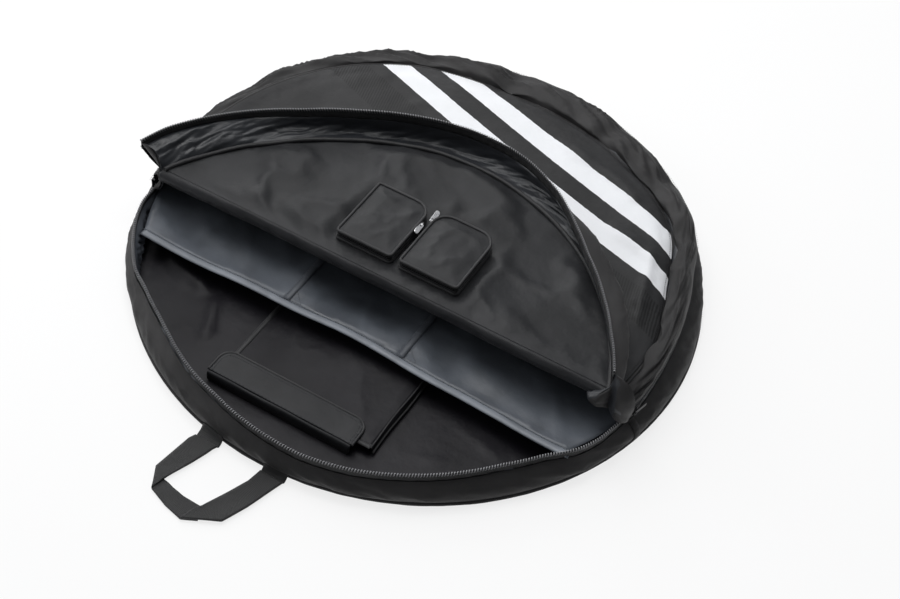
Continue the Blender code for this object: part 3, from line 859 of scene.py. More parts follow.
@dataclass(frozen=True)
class WovenCloth(Finish):
    """Plain-woven nylon or polyester.

    Thread is the width of one yarn, sheen the soft glow at grazing angles, and crinkle the height
    of the small creases that a folded bag keeps.
    """

    name: str
    colour: Colour
    thread: float = 0.0007
    weave: float = 0.00006
    roughness: float = 0.55
    sheen: float = 0.25
    crinkle: float = 0.0005
    crinkle_scale: float = 34.0
    gloss: float = 0.45
    cloudiness: float = 0.22

    def base(self, graph: Graph) -> tuple[Signal, Signal, Signal, Signal]:
        """The parts that printed cloth shares.

        Args:
            graph: Graph of the material.

        Returns:
            Colour, roughness, height of weave and crinkles, and the weave's own height.
        """
        flat = graph.flat()
        across, along, _ = graph.split(flat)
        weave = graph.plain_weave(across, along, self.thread)
        cloud = graph.noise(flat, 9.0, 3.0, 0.55)
        yarn = graph.noise(flat * (1.0, 14.0, 1.0), 160.0, 2.0, 0.6)
        # wear value: real wear along seams and edges, and partly a painted highlight on the
        # crease's roll
        dust_and_highlight = graph.attribute("wear")
        tone = graph.mottled(cloud, self.colour, 1 - self.cloudiness, 1 + self.cloudiness)
        tone = graph.blend(yarn.ramp(0.35, 0.75) * 0.18, tone, shade(self.colour, 1.6))
        tone = graph.blend(dust_and_highlight * 0.5, tone, shade(self.colour, 2.3))
        rough = cloud.ramp(0.25, 0.75, self.roughness + 0.05, self.roughness - 0.05) + weave * 0.03
        folds = graph.noise(flat, self.crinkle_scale, 4.0, 0.55)
        height = folds * self.crinkle + weave * self.weave
        return tone, rough, height, weave

    def build(self) -> bpy.types.Material:
        """Builds the woven material.

        Returns:
            The new material.
        """
        graph = Graph(self.name)
        tone, rough, height, _ = self.base(graph)
        return graph.surface(
            Base_Color=tone,
            Roughness=rough,
            Specular_IOR_Level=self.gloss,
            Sheen_Weight=self.sheen,
            Sheen_Roughness=0.45,
            Normal=graph.bump(height, 1.0, 0.8),
        )


@dataclass(frozen=True)
class PrintedCloth(WovenCloth):
    """Outer nylon with plain straight bands printed across it.

    The bands run at an angle over the flat cloth: white ones at the given distances and one dark
    band of fine hatching between them.
    """

    angle: float = math.radians(17.8)
    white: tuple[tuple[float, float], ...] = ((0.182, 0.030), (0.240, 0.030))
    hatched: tuple[float, float] = (0.124, 0.048)
    ink: Colour = (0.74, 0.75, 0.77)
    hatch_pitch: float = 0.0042
    hatch_slant: float = 0.6

    def build(self) -> bpy.types.Material:
        """Builds the cloth and its bands.

        Returns:
            The new material.
        """
        graph = Graph(self.name)
        tone, rough, height, weave = self.base(graph)
        across, along, _ = graph.split(graph.flat())
        reach = across * math.sin(self.angle) + along * math.cos(self.angle)
        run = across * math.cos(self.angle) - along * math.sin(self.angle)
        centre, width = self.hatched
        hatch = (run + reach * self.hatch_slant).repeat(self.hatch_pitch) > self.hatch_pitch / 2
        in_hatch = (abs(reach - centre) < width / 2) * hatch
        tone = graph.blend(in_hatch * 0.8, tone, shade(self.colour, 0.25))
        printed = None
        for centre, width in self.white:
            band = abs(reach - centre) < width / 2
            printed = band if printed is None else printed + band
        wear = graph.noise(graph.flat(), 420.0, 3.0, 0.7).ramp(0.18, 0.3, 0.72, 1.0)
        share = printed * wear
        tone = graph.blend(share, tone, self.ink)
        return graph.surface(
            Base_Color=tone,
            Roughness=rough - share * 0.06,
            Specular_IOR_Level=self.gloss,
            Sheen_Weight=self.sheen,
            Sheen_Roughness=0.45,
            Normal=graph.bump(height + share * 0.00008 + weave * 0.00001, 1.0, 0.8),
        )


@dataclass(frozen=True)
class CoatedCloth(Finish):
    """Thin lining with a shiny coating that keeps every crease."""

    name: str
    colour: Colour
    roughness: float = 0.34
    crinkle: float = 0.0011
    crinkle_scale: float = 42.0
    coat: float = 0.12
    thread: float = 0.0009

    def build(self) -> bpy.types.Material:
        """Builds the coated material.

        Returns:
            The new material.
        """
        graph = Graph(self.name)
        flat = graph.flat()
        across, along, _ = graph.split(flat)
        weave = graph.plain_weave(across, along, self.thread)
        cloud = graph.noise(flat, 12.0, 3.0, 0.6)
        folds = graph.noise(flat, self.crinkle_scale, 5.0, 0.62)
        sharp = 1 - abs(graph.noise(flat, self.crinkle_scale * 0.55, 2.0, 0.45) - 0.5) * 5.0
        tone = graph.mottled(cloud, self.colour, 0.8, 1.22)
        tone = graph.blend(sharp.ramp(0.8, 1.0) * 0.25, tone, shade(self.colour, 1.7))
        rough = folds.ramp(0.3, 0.7, self.roughness - 0.06, self.roughness + 0.08)
        height = folds * self.crinkle + sharp.ramp(0.5, 1.0) * 0.0003 + weave * 0.00003
        return graph.surface(
            Base_Color=tone,
            Roughness=rough,
            Specular_IOR_Level=0.42,
            Coat_Weight=self.coat,
            Coat_Roughness=0.3,
            Normal=graph.bump(height, 1.0, 0.85),
        )


@dataclass(frozen=True)
class RibbedWebbing(Finish):
    """Woven strap with ribs across it and a firm edge."""

    name: str
    colour: Colour
    rib: float = 0.0016
    yarn: float = 0.0012

    def build(self) -> bpy.types.Material:
        """Builds the webbing material; flat coordinates run along and across the strap.

        Returns:
            The new material.
        """
        graph = Graph(self.name)
        flat = graph.flat()
        along, across, _ = graph.split(flat)
        ribs = (
            along * (2 * math.pi / self.rib) + (across * (math.pi / self.yarn)).sine() * 0.9
        ).sine()
        yarns = (across * (2 * math.pi / self.yarn)).sine()
        cloud = graph.noise(flat, 22.0, 3.0, 0.6)
        tone = graph.mottled(cloud, self.colour, 0.8, 1.25)
        tone = graph.blend(ribs.ramp(-1.0, 1.0) * 0.3, tone, shade(self.colour, 1.7))
        tone = graph.blend(graph.attribute("wear") * 0.5, tone, shade(self.colour, 2.2))
        height = ribs * 0.00009 + yarns * 0.00004
        return graph.surface(
            Base_Color=tone,
            Roughness=ribs.ramp(-1.0, 1.0, 0.72, 0.6),
            Specular_IOR_Level=0.4,
            Sheen_Weight=0.08,
            Sheen_Roughness=0.5,
            Normal=graph.bump(height, 1.0, 0.9),
        )


@dataclass(frozen=True)
class HerringboneTape(Finish):
    """The knitted tape that a zip's coil is sewn on."""

    name: str
    colour: Colour
    pitch: float = 0.0016
    chevron: float = 0.004

    def build(self) -> bpy.types.Material:
        """Builds the tape material; flat coordinates run along and across the tape.

        Returns:
            The new material.
        """
        graph = Graph(self.name)
        flat = graph.flat()
        along, across, _ = graph.split(flat)
        zigzag = abs(across.repeat(self.chevron) - self.chevron / 2) * 1.4
        ribs = ((along + zigzag) * (2 * math.pi / self.pitch)).sine()
        cloud = graph.noise(flat, 30.0, 2.0, 0.5)
        tone = graph.mottled(cloud, self.colour, 0.8, 1.3)
        tone = graph.blend(ribs.ramp(-0.2, 1.0) * 0.35, tone, shade(self.colour, 1.9))
        return graph.surface(
            Base_Color=tone,
            Roughness=ribs.ramp(-1.0, 1.0, 0.66, 0.54),
            Specular_IOR_Level=0.4,
            Sheen_Weight=0.06,
            Sheen_Roughness=0.5,
            Normal=graph.bump(ribs, 0.00008, 0.9),
        )


@dataclass(frozen=True)
class MouldedNylon(Finish):
    """Black plastic of the zip's coil; a painted glint lightens the crests that the mesh marks in
    its wear value.
    """

    name: str
    colour: Colour
    roughness: float = 0.32

    def build(self) -> bpy.types.Material:
        """Builds the plastic.

        Returns:
            The new material.
        """
        graph = Graph(self.name)
        where = graph.place_in_frame()
        cloud = graph.noise(where, 60.0, 3.0, 0.6)
        # painted glint: the wear value lightens the coil's crests
        painted_glint = graph.attribute("wear")
        tone = graph.mottled(cloud, self.colour, 0.8, 1.2)
        tone = graph.blend(painted_glint * 0.8, tone, shade(self.colour, 2.6))
        rough = cloud.ramp(0.2, 0.8, self.roughness, self.roughness + 0.1)
        return graph.surface(
            Base_Color=tone,
            Roughness=rough,
            Specular_IOR_Level=0.5,
            Normal=graph.bump(cloud, 0.0001, 0.5),
        )


@dataclass(frozen=True)
class CastZinc(Finish):
    """Die-cast zinc, bright-plated or painted, with small pits and handling marks."""

    name: str
    colour: Colour
    roughness: float
    metallic: float

    def build(self) -> bpy.types.Material:
        """Builds the metal.

        Returns:
            The new material.
        """
        graph = Graph(self.name)
        where = graph.place_in_frame()
        cloud = graph.noise(where, 160.0, 3.0, 0.6)
        marks = graph.noise(where * (1.0, 9.0, 2.0), 700.0, 3.0, 0.7)
        tone = graph.mottled(cloud, self.colour, 0.86, 1.08)
        tone = graph.blend(marks.ramp(0.6, 0.72) * 0.3, tone, shade(self.colour, 0.55))
        rough = cloud.ramp(0.2, 0.8, self.roughness, self.roughness + 0.12)
        return graph.surface(
            Base_Color=tone,
            Roughness=rough + marks.ramp(0.55, 0.75) * 0.12,
            Metallic=self.metallic,
            Normal=graph.bump(marks, 0.00003, 0.6),
        )


@dataclass(frozen=True)
class PaleFloor(Finish):
    """Plain pale studio floor that shows white and keeps a faint shadow of the bag."""

    name: str
    colour: Colour = (0.93, 0.93, 0.93)
    glow: float = 0.78

    def build(self) -> bpy.types.Material:
        """Builds the floor; eyes, metal and glass see it white, and it gives back plain light.

        Returns:
            The new material.
        """
        graph = Graph(self.name)
        grain = graph.noise(graph.place_in_frame(), 3.0, 2.0, 0.5)
        tone = graph.blend(grain.ramp(0.2, 0.8), shade(self.colour, 0.99), self.colour)
        cloth = graph.node("ShaderNodeBsdfDiffuse", {}, {"Color": tone, "Roughness": 0.5})
        white = graph.node("ShaderNodeEmission", {}, {"Color": (1.0, 1.0, 1.0), "Strength": 1.0})
        rays = ("Camera", "Glossy", "Transmission")
        camera, glossy, through = (
            graph.node("ShaderNodeLightPath", {}, {}, f"Is {ray} Ray") for ray in rays
        )
        shown = (camera + glossy + through) * self.glow
        mixed = graph.node("ShaderNodeMixShader", {}, {0: shown, 1: cloth, 2: white})
        graph.node("ShaderNodeOutputMaterial", {}, {"Surface": mixed})
        return graph.material


OUTER = WovenCloth(
    "outer_nylon", colour=(0.0165, 0.0158, 0.0162), thread=0.0008, weave=0.00007, roughness=0.60,
    sheen=0.04, crinkle=0.0006, crinkle_scale=22.0, gloss=0.26,
)
PRINTED = PrintedCloth(
    "printed_nylon", colour=(0.0148, 0.0148, 0.0156), thread=0.0008, weave=0.00007, roughness=0.50,
    sheen=0.03, crinkle=0.0040, crinkle_scale=16.0, gloss=0.20,
)
INNER = WovenCloth(
    "charcoal_lining", colour=(0.0120, 0.0124, 0.0137), thread=0.0006, weave=0.00004,
    roughness=0.45, sheen=0.03, crinkle=0.0034, crinkle_scale=15.0, gloss=0.18,
)
# The back's lining at half the colour of the cover's lining: painted shade on the floor inside the
# bag.
SATIN_WITH_PAINTED_SHADE = WovenCloth(
    "back_lining", colour=(0.0062, 0.0057, 0.0076), thread=0.0006, weave=0.00003, roughness=0.40,
    sheen=0.02, crinkle=0.0030, crinkle_scale=16.0, gloss=0.13,
)
# A darker copy of the coated lining of WALL_LINING below: painted shade on the linings of the
# cover's walls and corners.
COATED_WITH_PAINTED_SHADE = CoatedCloth(
    "coated_lining", colour=(0.0145, 0.0162, 0.0196), roughness=0.46, crinkle=0.0018,
    crinkle_scale=14.0, coat=0.04,
)
WALL_LINING = CoatedCloth(
    "wall_lining", colour=(0.0480, 0.0535, 0.0630), roughness=0.32, crinkle=0.0026,
    crinkle_scale=14.0, coat=0.06,
)
DIVIDING = CoatedCloth(
    "divider_cloth", colour=(0.066, 0.074, 0.087), roughness=0.44, crinkle=0.0026,
    crinkle_scale=13.0, coat=0.05,
)
BINDING = WovenCloth(
    "seam_binding", colour=(0.0125, 0.0125, 0.0135), thread=0.0006, weave=0.00006, roughness=0.55,
    sheen=0.05, crinkle=0.0002, crinkle_scale=60.0, gloss=0.35,
)
LIGHT_BINDING = CoatedCloth(
    "divider_binding", colour=(0.075, 0.082, 0.095), roughness=0.42, crinkle=0.0003,
    crinkle_scale=50.0, coat=0.05,
)
# The hem's own cloth at about twice the panels' colour: a painted highlight along the divider's
# folded front edge.
HEMMING_WITH_PAINTED_HIGHLIGHT = CoatedCloth(
    "divider_hem", colour=(0.135, 0.148, 0.168), roughness=0.42, crinkle=0.0012, crinkle_scale=18.0,
    coat=0.05,
)
THREAD = MouldedNylon("black_thread", colour=(0.018, 0.018, 0.020), roughness=0.6)
GREY_THREAD = MouldedNylon("grey_thread", colour=(0.045, 0.048, 0.055), roughness=0.6)
WEBBING = RibbedWebbing("strap_webbing", colour=(0.0125, 0.0125, 0.0128))
TAPE = HerringboneTape("zip_tape", colour=(0.0085, 0.0085, 0.0092))
# The coil's black plastic at a lighter grey: a painted glint along the coil.
COIL_WITH_PAINTED_GLINT = MouldedNylon("zip_coil", colour=(0.105, 0.105, 0.110), roughness=0.28)
BRIGHT = CastZinc("bright_zinc", colour=(0.78, 0.78, 0.79), roughness=0.22, metallic=1.0)
PAINTED = CastZinc("painted_zinc", colour=(0.022, 0.022, 0.024), roughness=0.34, metallic=0.55)


# Shapes of the sewn lines

def around(turn: Points, radius: Union[float, Points], height: Union[float, Points]) -> Points:
    """Points on rings round the middle; turn is measured from the handle's side."""
    return grid(radius * np.sin(turn), -radius * np.cos(turn), height)


def whole_ring(steps: int) -> Points:
    """Even turns all the way round, without the first repeated."""
    return np.linspace(0, 2 * math.pi, steps, endpoint=False)


def half_round(turn: Points) -> Points:
    """The same turns between half a turn either way of the handle's side."""
    return (turn + math.pi) % (2 * math.pi) - math.pi


def eased_table(places: Points, table: Sequence[tuple[float, float]], blur: float = 5.0) -> Points:
    """Values between the rows of a table, with soft corners.

    Args:
        places: Where to read the table, in radians.
        table: Rows of a place in degrees and its value.
        blur: Degrees that the softening reaches over.

    Returns:
        One value for each place.
    """
    steps = 1200
    xs, ys = np.array(table).T
    fine_x = np.linspace(xs[0], xs[-1], steps)
    width = max(3, int(steps * blur / (xs[-1] - xs[0])))
    kernel = np.hanning(width + 2)[1:-1]
    padded_y = np.pad(np.interp(fine_x, xs, ys), width, mode="edge")
    soft = np.convolve(padded_y, kernel / kernel.sum(), mode="same")[width:-width]
    return np.interp(np.degrees(places), fine_x, soft)


REAR_RIM = (
    (69, 0.340), (73, 0.3390), (78, 0.3345), (84, 0.3310), (93, 0.3265), (100, 0.3195),
    (108, 0.3160), (114, 0.3180), (122, 0.3235), (127, 0.3250), (132, 0.3225), (139, 0.3170),
    (147, 0.3100), (158, 0.3060), (167, 0.3020), (178, 0.3010), (185, 0.2995), (192, 0.3030),
    (203, 0.3125), (212, 0.3210), (227, 0.3270), (241, 0.3290), (261, 0.3310), (280, 0.3350),
    (287, 0.3390), (291, 0.3400),
)
REAR_DROP = (
    (69, 0.0), (76, 0.0040), (84, 0.0110), (93, 0.0180), (104, 0.0215), (118, 0.0215),
    (126, 0.0190), (140, 0.0160), (152, 0.0150), (170, 0.0135), (190, 0.0120), (212, 0.0090),
    (240, 0.0050), (270, 0.0020), (291, 0.0),
)
REAR_STANDS = (
    (69, 0.000), (76, 0.005), (84, 0.010), (92, 0.0155), (97, 0.0110), (102, 0.0180), (112, 0.0190),
    (119, 0.0175), (123, 0.0080), (127, 0.0185), (137, 0.0160), (141, 0.0080), (146, 0.0180),
    (154, 0.0175), (159, 0.0085), (164, 0.0180), (176, 0.0180), (184, 0.0150), (188, 0.0070),
    (193, 0.0165), (204, 0.0140), (209, 0.0060), (215, 0.0120), (232, 0.0100), (248, 0.0085),
    (253, 0.0040), (258, 0.0070), (280, 0.0030), (291, 0.0),
)
FLAP_RIM = (
    (-71, 0.3385), (-60, 0.335), (-47, 0.332), (-36, 0.333), (-23, 0.338), (-12, 0.346), (0, 0.350),
    (12, 0.350), (29, 0.348), (45, 0.344), (60, 0.341), (71, 0.340),
)
FLAP_ZIP = (
    (-72.0, 0.3690), (-66, 0.3720), (-58, 0.368), (-48, 0.362), (-38, 0.356), (-26, 0.359),
    (-12, 0.370), (-3, 0.376), (5, 0.377), (11, 0.374), (21, 0.362), (30, 0.346), (38, 0.336),
    (50, 0.332), (60, 0.332), (70.2, 0.337),
)
LOWER_ZIP = (
    (-180, 0.3555), (-74, 0.3555), (-71.2, 0.3575), (-68, 0.3632), (-62.8, 0.3645), (-55.6, 0.363),
    (-48.6, 0.3600), (-44.3, 0.3520), (-36.5, 0.3458), (-30.8, 0.3450), (-19.7, 0.3486),
    (-12.5, 0.3495), (-2.6, 0.3556), (8.6, 0.3622), (18, 0.3622), (27, 0.3585), (36, 0.355),
    (45.6, 0.3505), (54.6, 0.3520), (61, 0.3610), (65.7, 0.3610), (71.5, 0.3560), (76, 0.3545),
    (84, 0.3480), (92, 0.3440), (103, 0.3430), (114, 0.3445), (122, 0.3530), (130, 0.3560),
    (146, 0.3555), (180, 0.3555),
)
HALF_TURN_SEAM = math.acos(BAG.crease / BAG.cover_seam)
HALF_TURN_ZIP = math.acos(BAG.crease / BAG.zip_line)


def zip_wander(turn: Points) -> Points:
    """Radius of the lower coil at each turn, in radians."""
    return eased_table(half_round(turn), LOWER_ZIP)


def cover_sag(
    x: Points, y: Points, depth: float = 0.011, level_out: float = 0.19, reach: float = 0.0130
) -> Points:
    """How far the cover's middle hangs below its rim, and the rim's seam below the wall beside it.

    Args:
        x: Places, across.
        y: Places, along.
        depth: How deep the middle hangs.
        level_out: How far behind the crease it hangs that deep.
        reach: How far in from the rim its sunken seam pulls the cloth down.

    Returns:
        Depths.
    """
    radius = np.hypot(x, y)
    turn = np.arctan2(x, -y) % (2 * math.pi)
    rim = eased_table(turn, REAR_RIM)
    bowl = np.clip(1 - (radius / rim) ** 4, 0, 1)
    seam = eased_table(turn, REAR_DROP) * np.exp(-((np.clip(rim - radius, 0, 1) / reach) ** 1.4))
    return depth * bowl * smooth((y + BAG.crease) / level_out) + seam


def ridge_along(x: Points, y: Points, ends: Sequence[float], width: float, height: float) -> Points:
    """A fold from one point to another, as heights at x and y; it thins out at both ends.

    Args:
        x: Places, across.
        y: Places, along.
        ends: Four numbers: x and y of the start, then of the end.
        width: Half its width.
        height: How far it stands up, or down where it is negative.

    Returns:
        Heights.
    """
    dx, dy = ends[2] - ends[0], ends[3] - ends[1]
    length = math.hypot(dx, dy)
    share = ((x - ends[0]) * dx + (y - ends[1]) * dy) / length**2
    off = np.abs((x - ends[0]) * dy - (y - ends[1]) * dx) / length
    taper = np.clip(1 - (2 * np.abs(share - 0.5)) ** 2.5, 0, 1) * (np.abs(share - 0.5) < 0.5)
    return height * taper * np.exp(-((off / (width * (0.55 + 0.45 * taper))) ** 1.5))


def with_folds(heights: Points, x: Points, y: Points, folds: Sequence[Fold]) -> Points:
    """Heights at x and y, with single folds added to them.

    Args:
        heights: Heights before the folds.
        x: First flat coordinate of each point.
        y: Second flat coordinate of each point.
        folds: The ends, width and height of each fold.

    Returns:
        The new heights.
    """
    for ends, width, height in folds:
        heights = heights + ridge_along(x, y, ends, width, height)
    return heights


@dataclass(frozen=True)
class Drape:
    """Settles loose cloth between its seams.

    Growth is how much longer the cloth is cut than its frame, reach the most that a point may
    move, and floor the height that it rests on.
    """

    growth: float = 0.012
    frames: int = 24
    gravity: float = 0.4
    reach: float = 0.008
    stiffness: float = 12.0
    bending: float = 0.06

    def settle(
        self, obj: bpy.types.Object, held: Points, floor: Callable[[Points, Points], Points]
    ) -> None:
        """Runs the cloth and writes its result into the mesh.

        Args:
            obj: The sheet, with no modifiers yet.
            held: For each point, 1 where it is sewn and 0 where it is loose.
            floor: Gives the lowest height for arrays x and y.
        """
        scene = bpy.context.scene
        start = vertex_array(obj)
        group = obj.vertex_groups.new(name="sewn")
        for index in np.nonzero(held > 0.01)[0]:
            group.add([int(index)], float(held[index]), "REPLACE")
        cloth = obj.modifiers.new("drape", "CLOTH")
        setup = cloth.settings
        setup.quality = 6
        setup.mass = 0.12
        setup.tension_stiffness = self.stiffness
        setup.compression_stiffness = self.stiffness
        setup.shear_stiffness = self.stiffness / 3
        setup.bending_stiffness = self.bending
        setup.air_damping = 2.0
        setup.shrink_min = -self.growth
        setup.vertex_group_mass = "sewn"
        setup.effector_weights.gravity = self.gravity
        cloth.collision_settings.use_collision = False
        cloth.collision_settings.use_self_collision = False
        cloth.point_cache.frame_start = 1
        cloth.point_cache.frame_end = self.frames
        for frame_number in range(1, self.frames + 1):
            scene.frame_set(frame_number)
        graph = bpy.context.evaluated_depsgraph_get()
        result = obj.evaluated_get(graph)
        moved = np.empty(len(start) * 3, np.float32)
        result.data.vertices.foreach_get("co", moved)
        obj.modifiers.remove(cloth)
        scene.frame_set(1)
        shift = moved.reshape(-1, 3).astype(float) - start
        length = np.linalg.norm(shift, axis=1, keepdims=True)
        shift *= np.minimum(
            1.0, self.reach * np.tanh(length / self.reach) / np.maximum(length, 1e-9)
        )
        final = start + shift
        final[:, 2] = np.maximum(final[:, 2], floor(final[:, 0], final[:, 1]))
        write_vertices(obj, final)


def level_floor(height: float) -> Callable[[Points, Points], Points]:
    """A flat rest for loose cloth."""
    return lambda x, y: np.full_like(x, height)


def vertex_array(obj: bpy.types.Object) -> Points:
    """The mesh's own points.

    Args:
        obj: Mesh object.

    Returns:
        One row for each vertex.
    """
    read = np.empty(len(obj.data.vertices) * 3, np.float32)
    obj.data.vertices.foreach_get("co", read)
    return read.reshape(-1, 3).astype(float)


def write_vertices(obj: bpy.types.Object, points: Points) -> None:
    """Replaces the mesh's own points."""
    obj.data.vertices.foreach_set("co", points.astype(np.float32).ravel())
    obj.data.update()


def set_wear_and_highlight(obj: bpy.types.Object, amount: Points) -> bpy.types.Object:
    """Stores how worn each point is, from 0 to 1, for the finishes to read; on the zip's coil the
    value is a painted glint, and on the crease's roll it is partly a painted highlight.

    Args:
        obj: Mesh object.
        amount: One value for each vertex.

    Returns:
        The same object.
    """
    layer = obj.data.attributes.new("wear", "FLOAT", "POINT")
    layer.data.foreach_set("value", np.clip(amount, 0, 1).astype(np.float32))
    return obj


def soften(obj: bpy.types.Object, held: Points, share: float = 0.5) -> None:
    """Evens out a triangle mesh by moving each point towards its neighbours.

    Args:
        obj: The sheet.
        held: 1 where a point keeps its place.
        share: How much of the way a loose point moves.
    """
    points = vertex_array(obj)
    edges = np.array([tuple(edge.vertices) for edge in obj.data.edges])
    count = np.bincount(edges.ravel(), minlength=len(points))[:, None]
    total = np.zeros_like(points)
    np.add.at(total, edges[:, 0], points[edges[:, 1]])
    np.add.at(total, edges[:, 1], points[edges[:, 0]])
    points += share * (1 - held)[:, None] * (total / np.maximum(count, 1) - points)
    write_vertices(obj, points)


def stitches(
    name: str, path: Points, out: Points, body: str, slot: str, closed: bool = False
) -> bpy.types.Object:
    """A row of stitches along a seam.

    Args:
        name: Piece name.
        path: Points of the seam.
        out: Which way is out of the cloth, at each point.
        body: CAD body that it moves with.
        slot: Not used.
        closed: Whether the seam closes on itself.

    Returns:
        The piece.
    """
    return ride_as(
        mesh_object(name, StitchRow().patch(path, out, closed), THREAD, False), body, slot
    )


class Side(Enum):
    """The two halves of the cover."""

    REAR = "rear"
    FRONT = "front"


@dataclass
class Wall:
    """A band of cloth that stands between two sewn lines.

    The rows run from foot to head; swell is how far the middle stands out, bulge adds to it column
    by column, and folds and crinkle are the heights of its large and small creases. Overhang is how
    far the head's roll leans back over its seam, column by column.
    """

    name: str
    turns: Points
    foot: Points
    head: Points
    swell: float
    folds: float
    crinkle: float
    seed: int
    rows: int = 13
    swell_at: float = 0.5
    closed: bool = False
    per_turn: float = 26.0
    slant: float = 0.0
    inward: bool = False
    bulge: Optional[Points] = None
    loose_by: Optional[Points] = None
    over: Optional["Wall"] = None
    fullness: float = 1.0
    overhang: Optional[Points] = None
    roll_at: float = 0.84
    roll_half: float = 0.10
    lining_gap: float = 0.0035
    foot_gathers: float = 0.0022

    def relief(self, share: Points) -> Points:
        """How far the band stands out from the straight line between its seams.

        Args:
            share: Column of places from foot, 0, to head, 1.

        Returns:
            Heights in rows and columns.
        """
        noise = Creases(self.seed)
        across = self.turns[None, :] / (2 * math.pi) * (
            Creases.cells if self.closed else self.per_turn
        )
        loose = np.sin(math.pi * share) ** 0.7
        if self.loose_by is not None:
            loose = loose * self.loose_by[None, :]
        profile = self.swell * np.sin(math.pi * share ** (math.log(0.5) / math.log(self.swell_at)))
        if self.bulge is not None:
            profile = profile + self.bulge[None, :] * np.sin(math.pi * share) ** self.fullness
        folds = noise.layered(across + self.slant * share, share * 1.3 + 3, 2)
        ridge = noise.ridges(across * 1.7 + 11 + self.slant * 2 * share, share * 2.1 + 9, 3.0)
        if not self.inward:
            return profile + loose * (self.folds * folds + self.crinkle * (ridge - 0.5))
        gathers = self.foot_gathers * loose * noise(
            across * 5.5 + 4, share * 2 + 8
        ) * np.exp(-share / 0.2)
        behind = profile
        if self.over is not None:
            behind = self.over.relief(share) - self.lining_gap * np.sin(math.pi * share) ** 0.6
        return behind - loose * (
            self.folds * (0.55 + 0.45 * folds) + self.crinkle * ridge
        ) + gathers

    def points(self) -> tuple[Points, Points]:
        """Points of the band and their flat coordinates.

        Returns:
            Rows of points in space, and the same points laid flat.
        """
        share = np.linspace(0, 1, self.rows)[:, None]
        base = self.foot[None] * (1 - share[..., None]) + self.head[None] * share[..., None]
        out = unit(np.cross(headings(self.foot, self.closed), self.head - self.foot))
        points = base + self.relief(share)[..., None] * out[None]
        if self.overhang is not None:
            level = unit((self.foot - self.head) * np.array([1.0, 1.0, 0.0]))
            lean = self.overhang[None, :] * np.exp(
                -(((share - self.roll_at) / self.roll_half) ** 2)
            )
            points = points - lean[..., None] * level[None]
        width = float(np.linalg.norm(np.diff(points, axis=0), axis=2).sum(0).mean())
        return points, grid(run_lengths(self.foot, self.closed)[None, :], share * width)

    def build(self, finish: Finish) -> bpy.types.Object:
        """Makes the band, worn along both seams.

        Args:
            finish: What the band is made of.

        Returns:
            The mesh object.
        """
        points, flat = self.points()
        obj = mesh_object(self.name, grid_patch(points, flat, self.closed), finish)
        share = np.repeat(np.linspace(0, 1, self.rows), points.shape[1])
        return set_wear_and_highlight(obj, 0.5 * np.exp(-share * 14) + 0.35 * np.exp(-(1 - share) * 14))


@dataclass
class ZipHalf:
    """One row of coil on its tape.

    Line is the middle of the coil, out the direction away from the bag at each point, and away
    the way that the tape goes from the coil: down for the lower half, up for the upper one.
    """

    name: str
    line: Points
    out: Points
    away: Points
    body: str
    nodes: tuple[str, str]
    closed: bool = False
    pitch: float = 0.0034
    coil_radius: float = 0.0020
    wire: float = 0.00088
    flatness: float = 0.8
    tape_rows: tuple[float, ...] = (-0.0006, 0.0008, 0.0025, 0.0050, 0.0085, 0.0135)
    tape_thickness: float = 0.0008
    ripple: float = 0.00035
    sewn_at: tuple[float, float] = (0.0122, 0.0030)
    per_loop: ClassVar[int] = 6
    wire_sides: ClassVar[int] = 3

    def build(self) -> list[bpy.types.Object]:
        """Makes the tape, the coil and the sewing along it.

        Returns:
            All objects of this half.
        """
        down, off = self.sewn_at
        path = self.line + self.away * down + self.out * off
        made = [self.tape(), self.coil()]
        made.append(
            stitches(self.name + "_zip_sewing", path, self.out, self.body, "zip_tape", self.closed)
        )
        return made

    def tape(self) -> bpy.types.Object:
        """The knitted tape behind the coil, lapped by the wall's cloth.

        Returns:
            The tape.
        """
        rows = np.array(self.tape_rows)[:, None, None]
        ripple = self.ripple * np.sin(np.arange(len(self.line)) * 0.9)[None, :, None]
        points = self.line[None] + self.away[None] * rows + self.out[None] * (
            ripple * rows / self.tape_rows[-1]
        )
        flat = grid(run_lengths(self.line, self.closed)[None, :], rows[:, :, 0])
        obj = mesh_object(self.name + "_zip_band", grid_patch(points, flat, self.closed), TAPE)
        return ride_as(thicken(obj, self.tape_thickness), self.body, "zip_tape", self.nodes[0])

    def coil(self) -> bpy.types.Object:
        """The coil itself, wound as one flattened spring.

        Returns:
            The coil.
        """
        both = np.concatenate([self.line, self.out, self.away], axis=1)
        ring = np.concatenate([both, both[:1]]) if self.closed else both
        length = run_lengths(ring[:, :3])
        count = int(length[-1] / self.pitch) * self.per_loop
        at = spread(ring, length, np.linspace(0, length[-1], count, endpoint=not self.closed))
        turn = np.arange(count) * 2 * math.pi / self.per_loop
        centre = at[:, :3] + at[:, 3:6] * (np.cos(turn) * self.coil_radius * self.flatness)[:, None]
        centre = centre - at[:, 6:] * (np.sin(turn) * self.coil_radius)[:, None]
        wire = sweep(centre, round_profile(self.wire, self.wire_sides), False, at[:, 6:])
        obj = mesh_object(self.name + "_zip_teeth", wire, COIL_WITH_PAINTED_GLINT)
        # painted glint: the crests of the coil's loops get a wear value that lightens them
        set_wear_and_highlight(obj, np.repeat(np.clip(np.sin(turn), 0, 1), self.wire_sides))
        return ride_as(obj, self.body, "zip_coil", self.nodes[1])


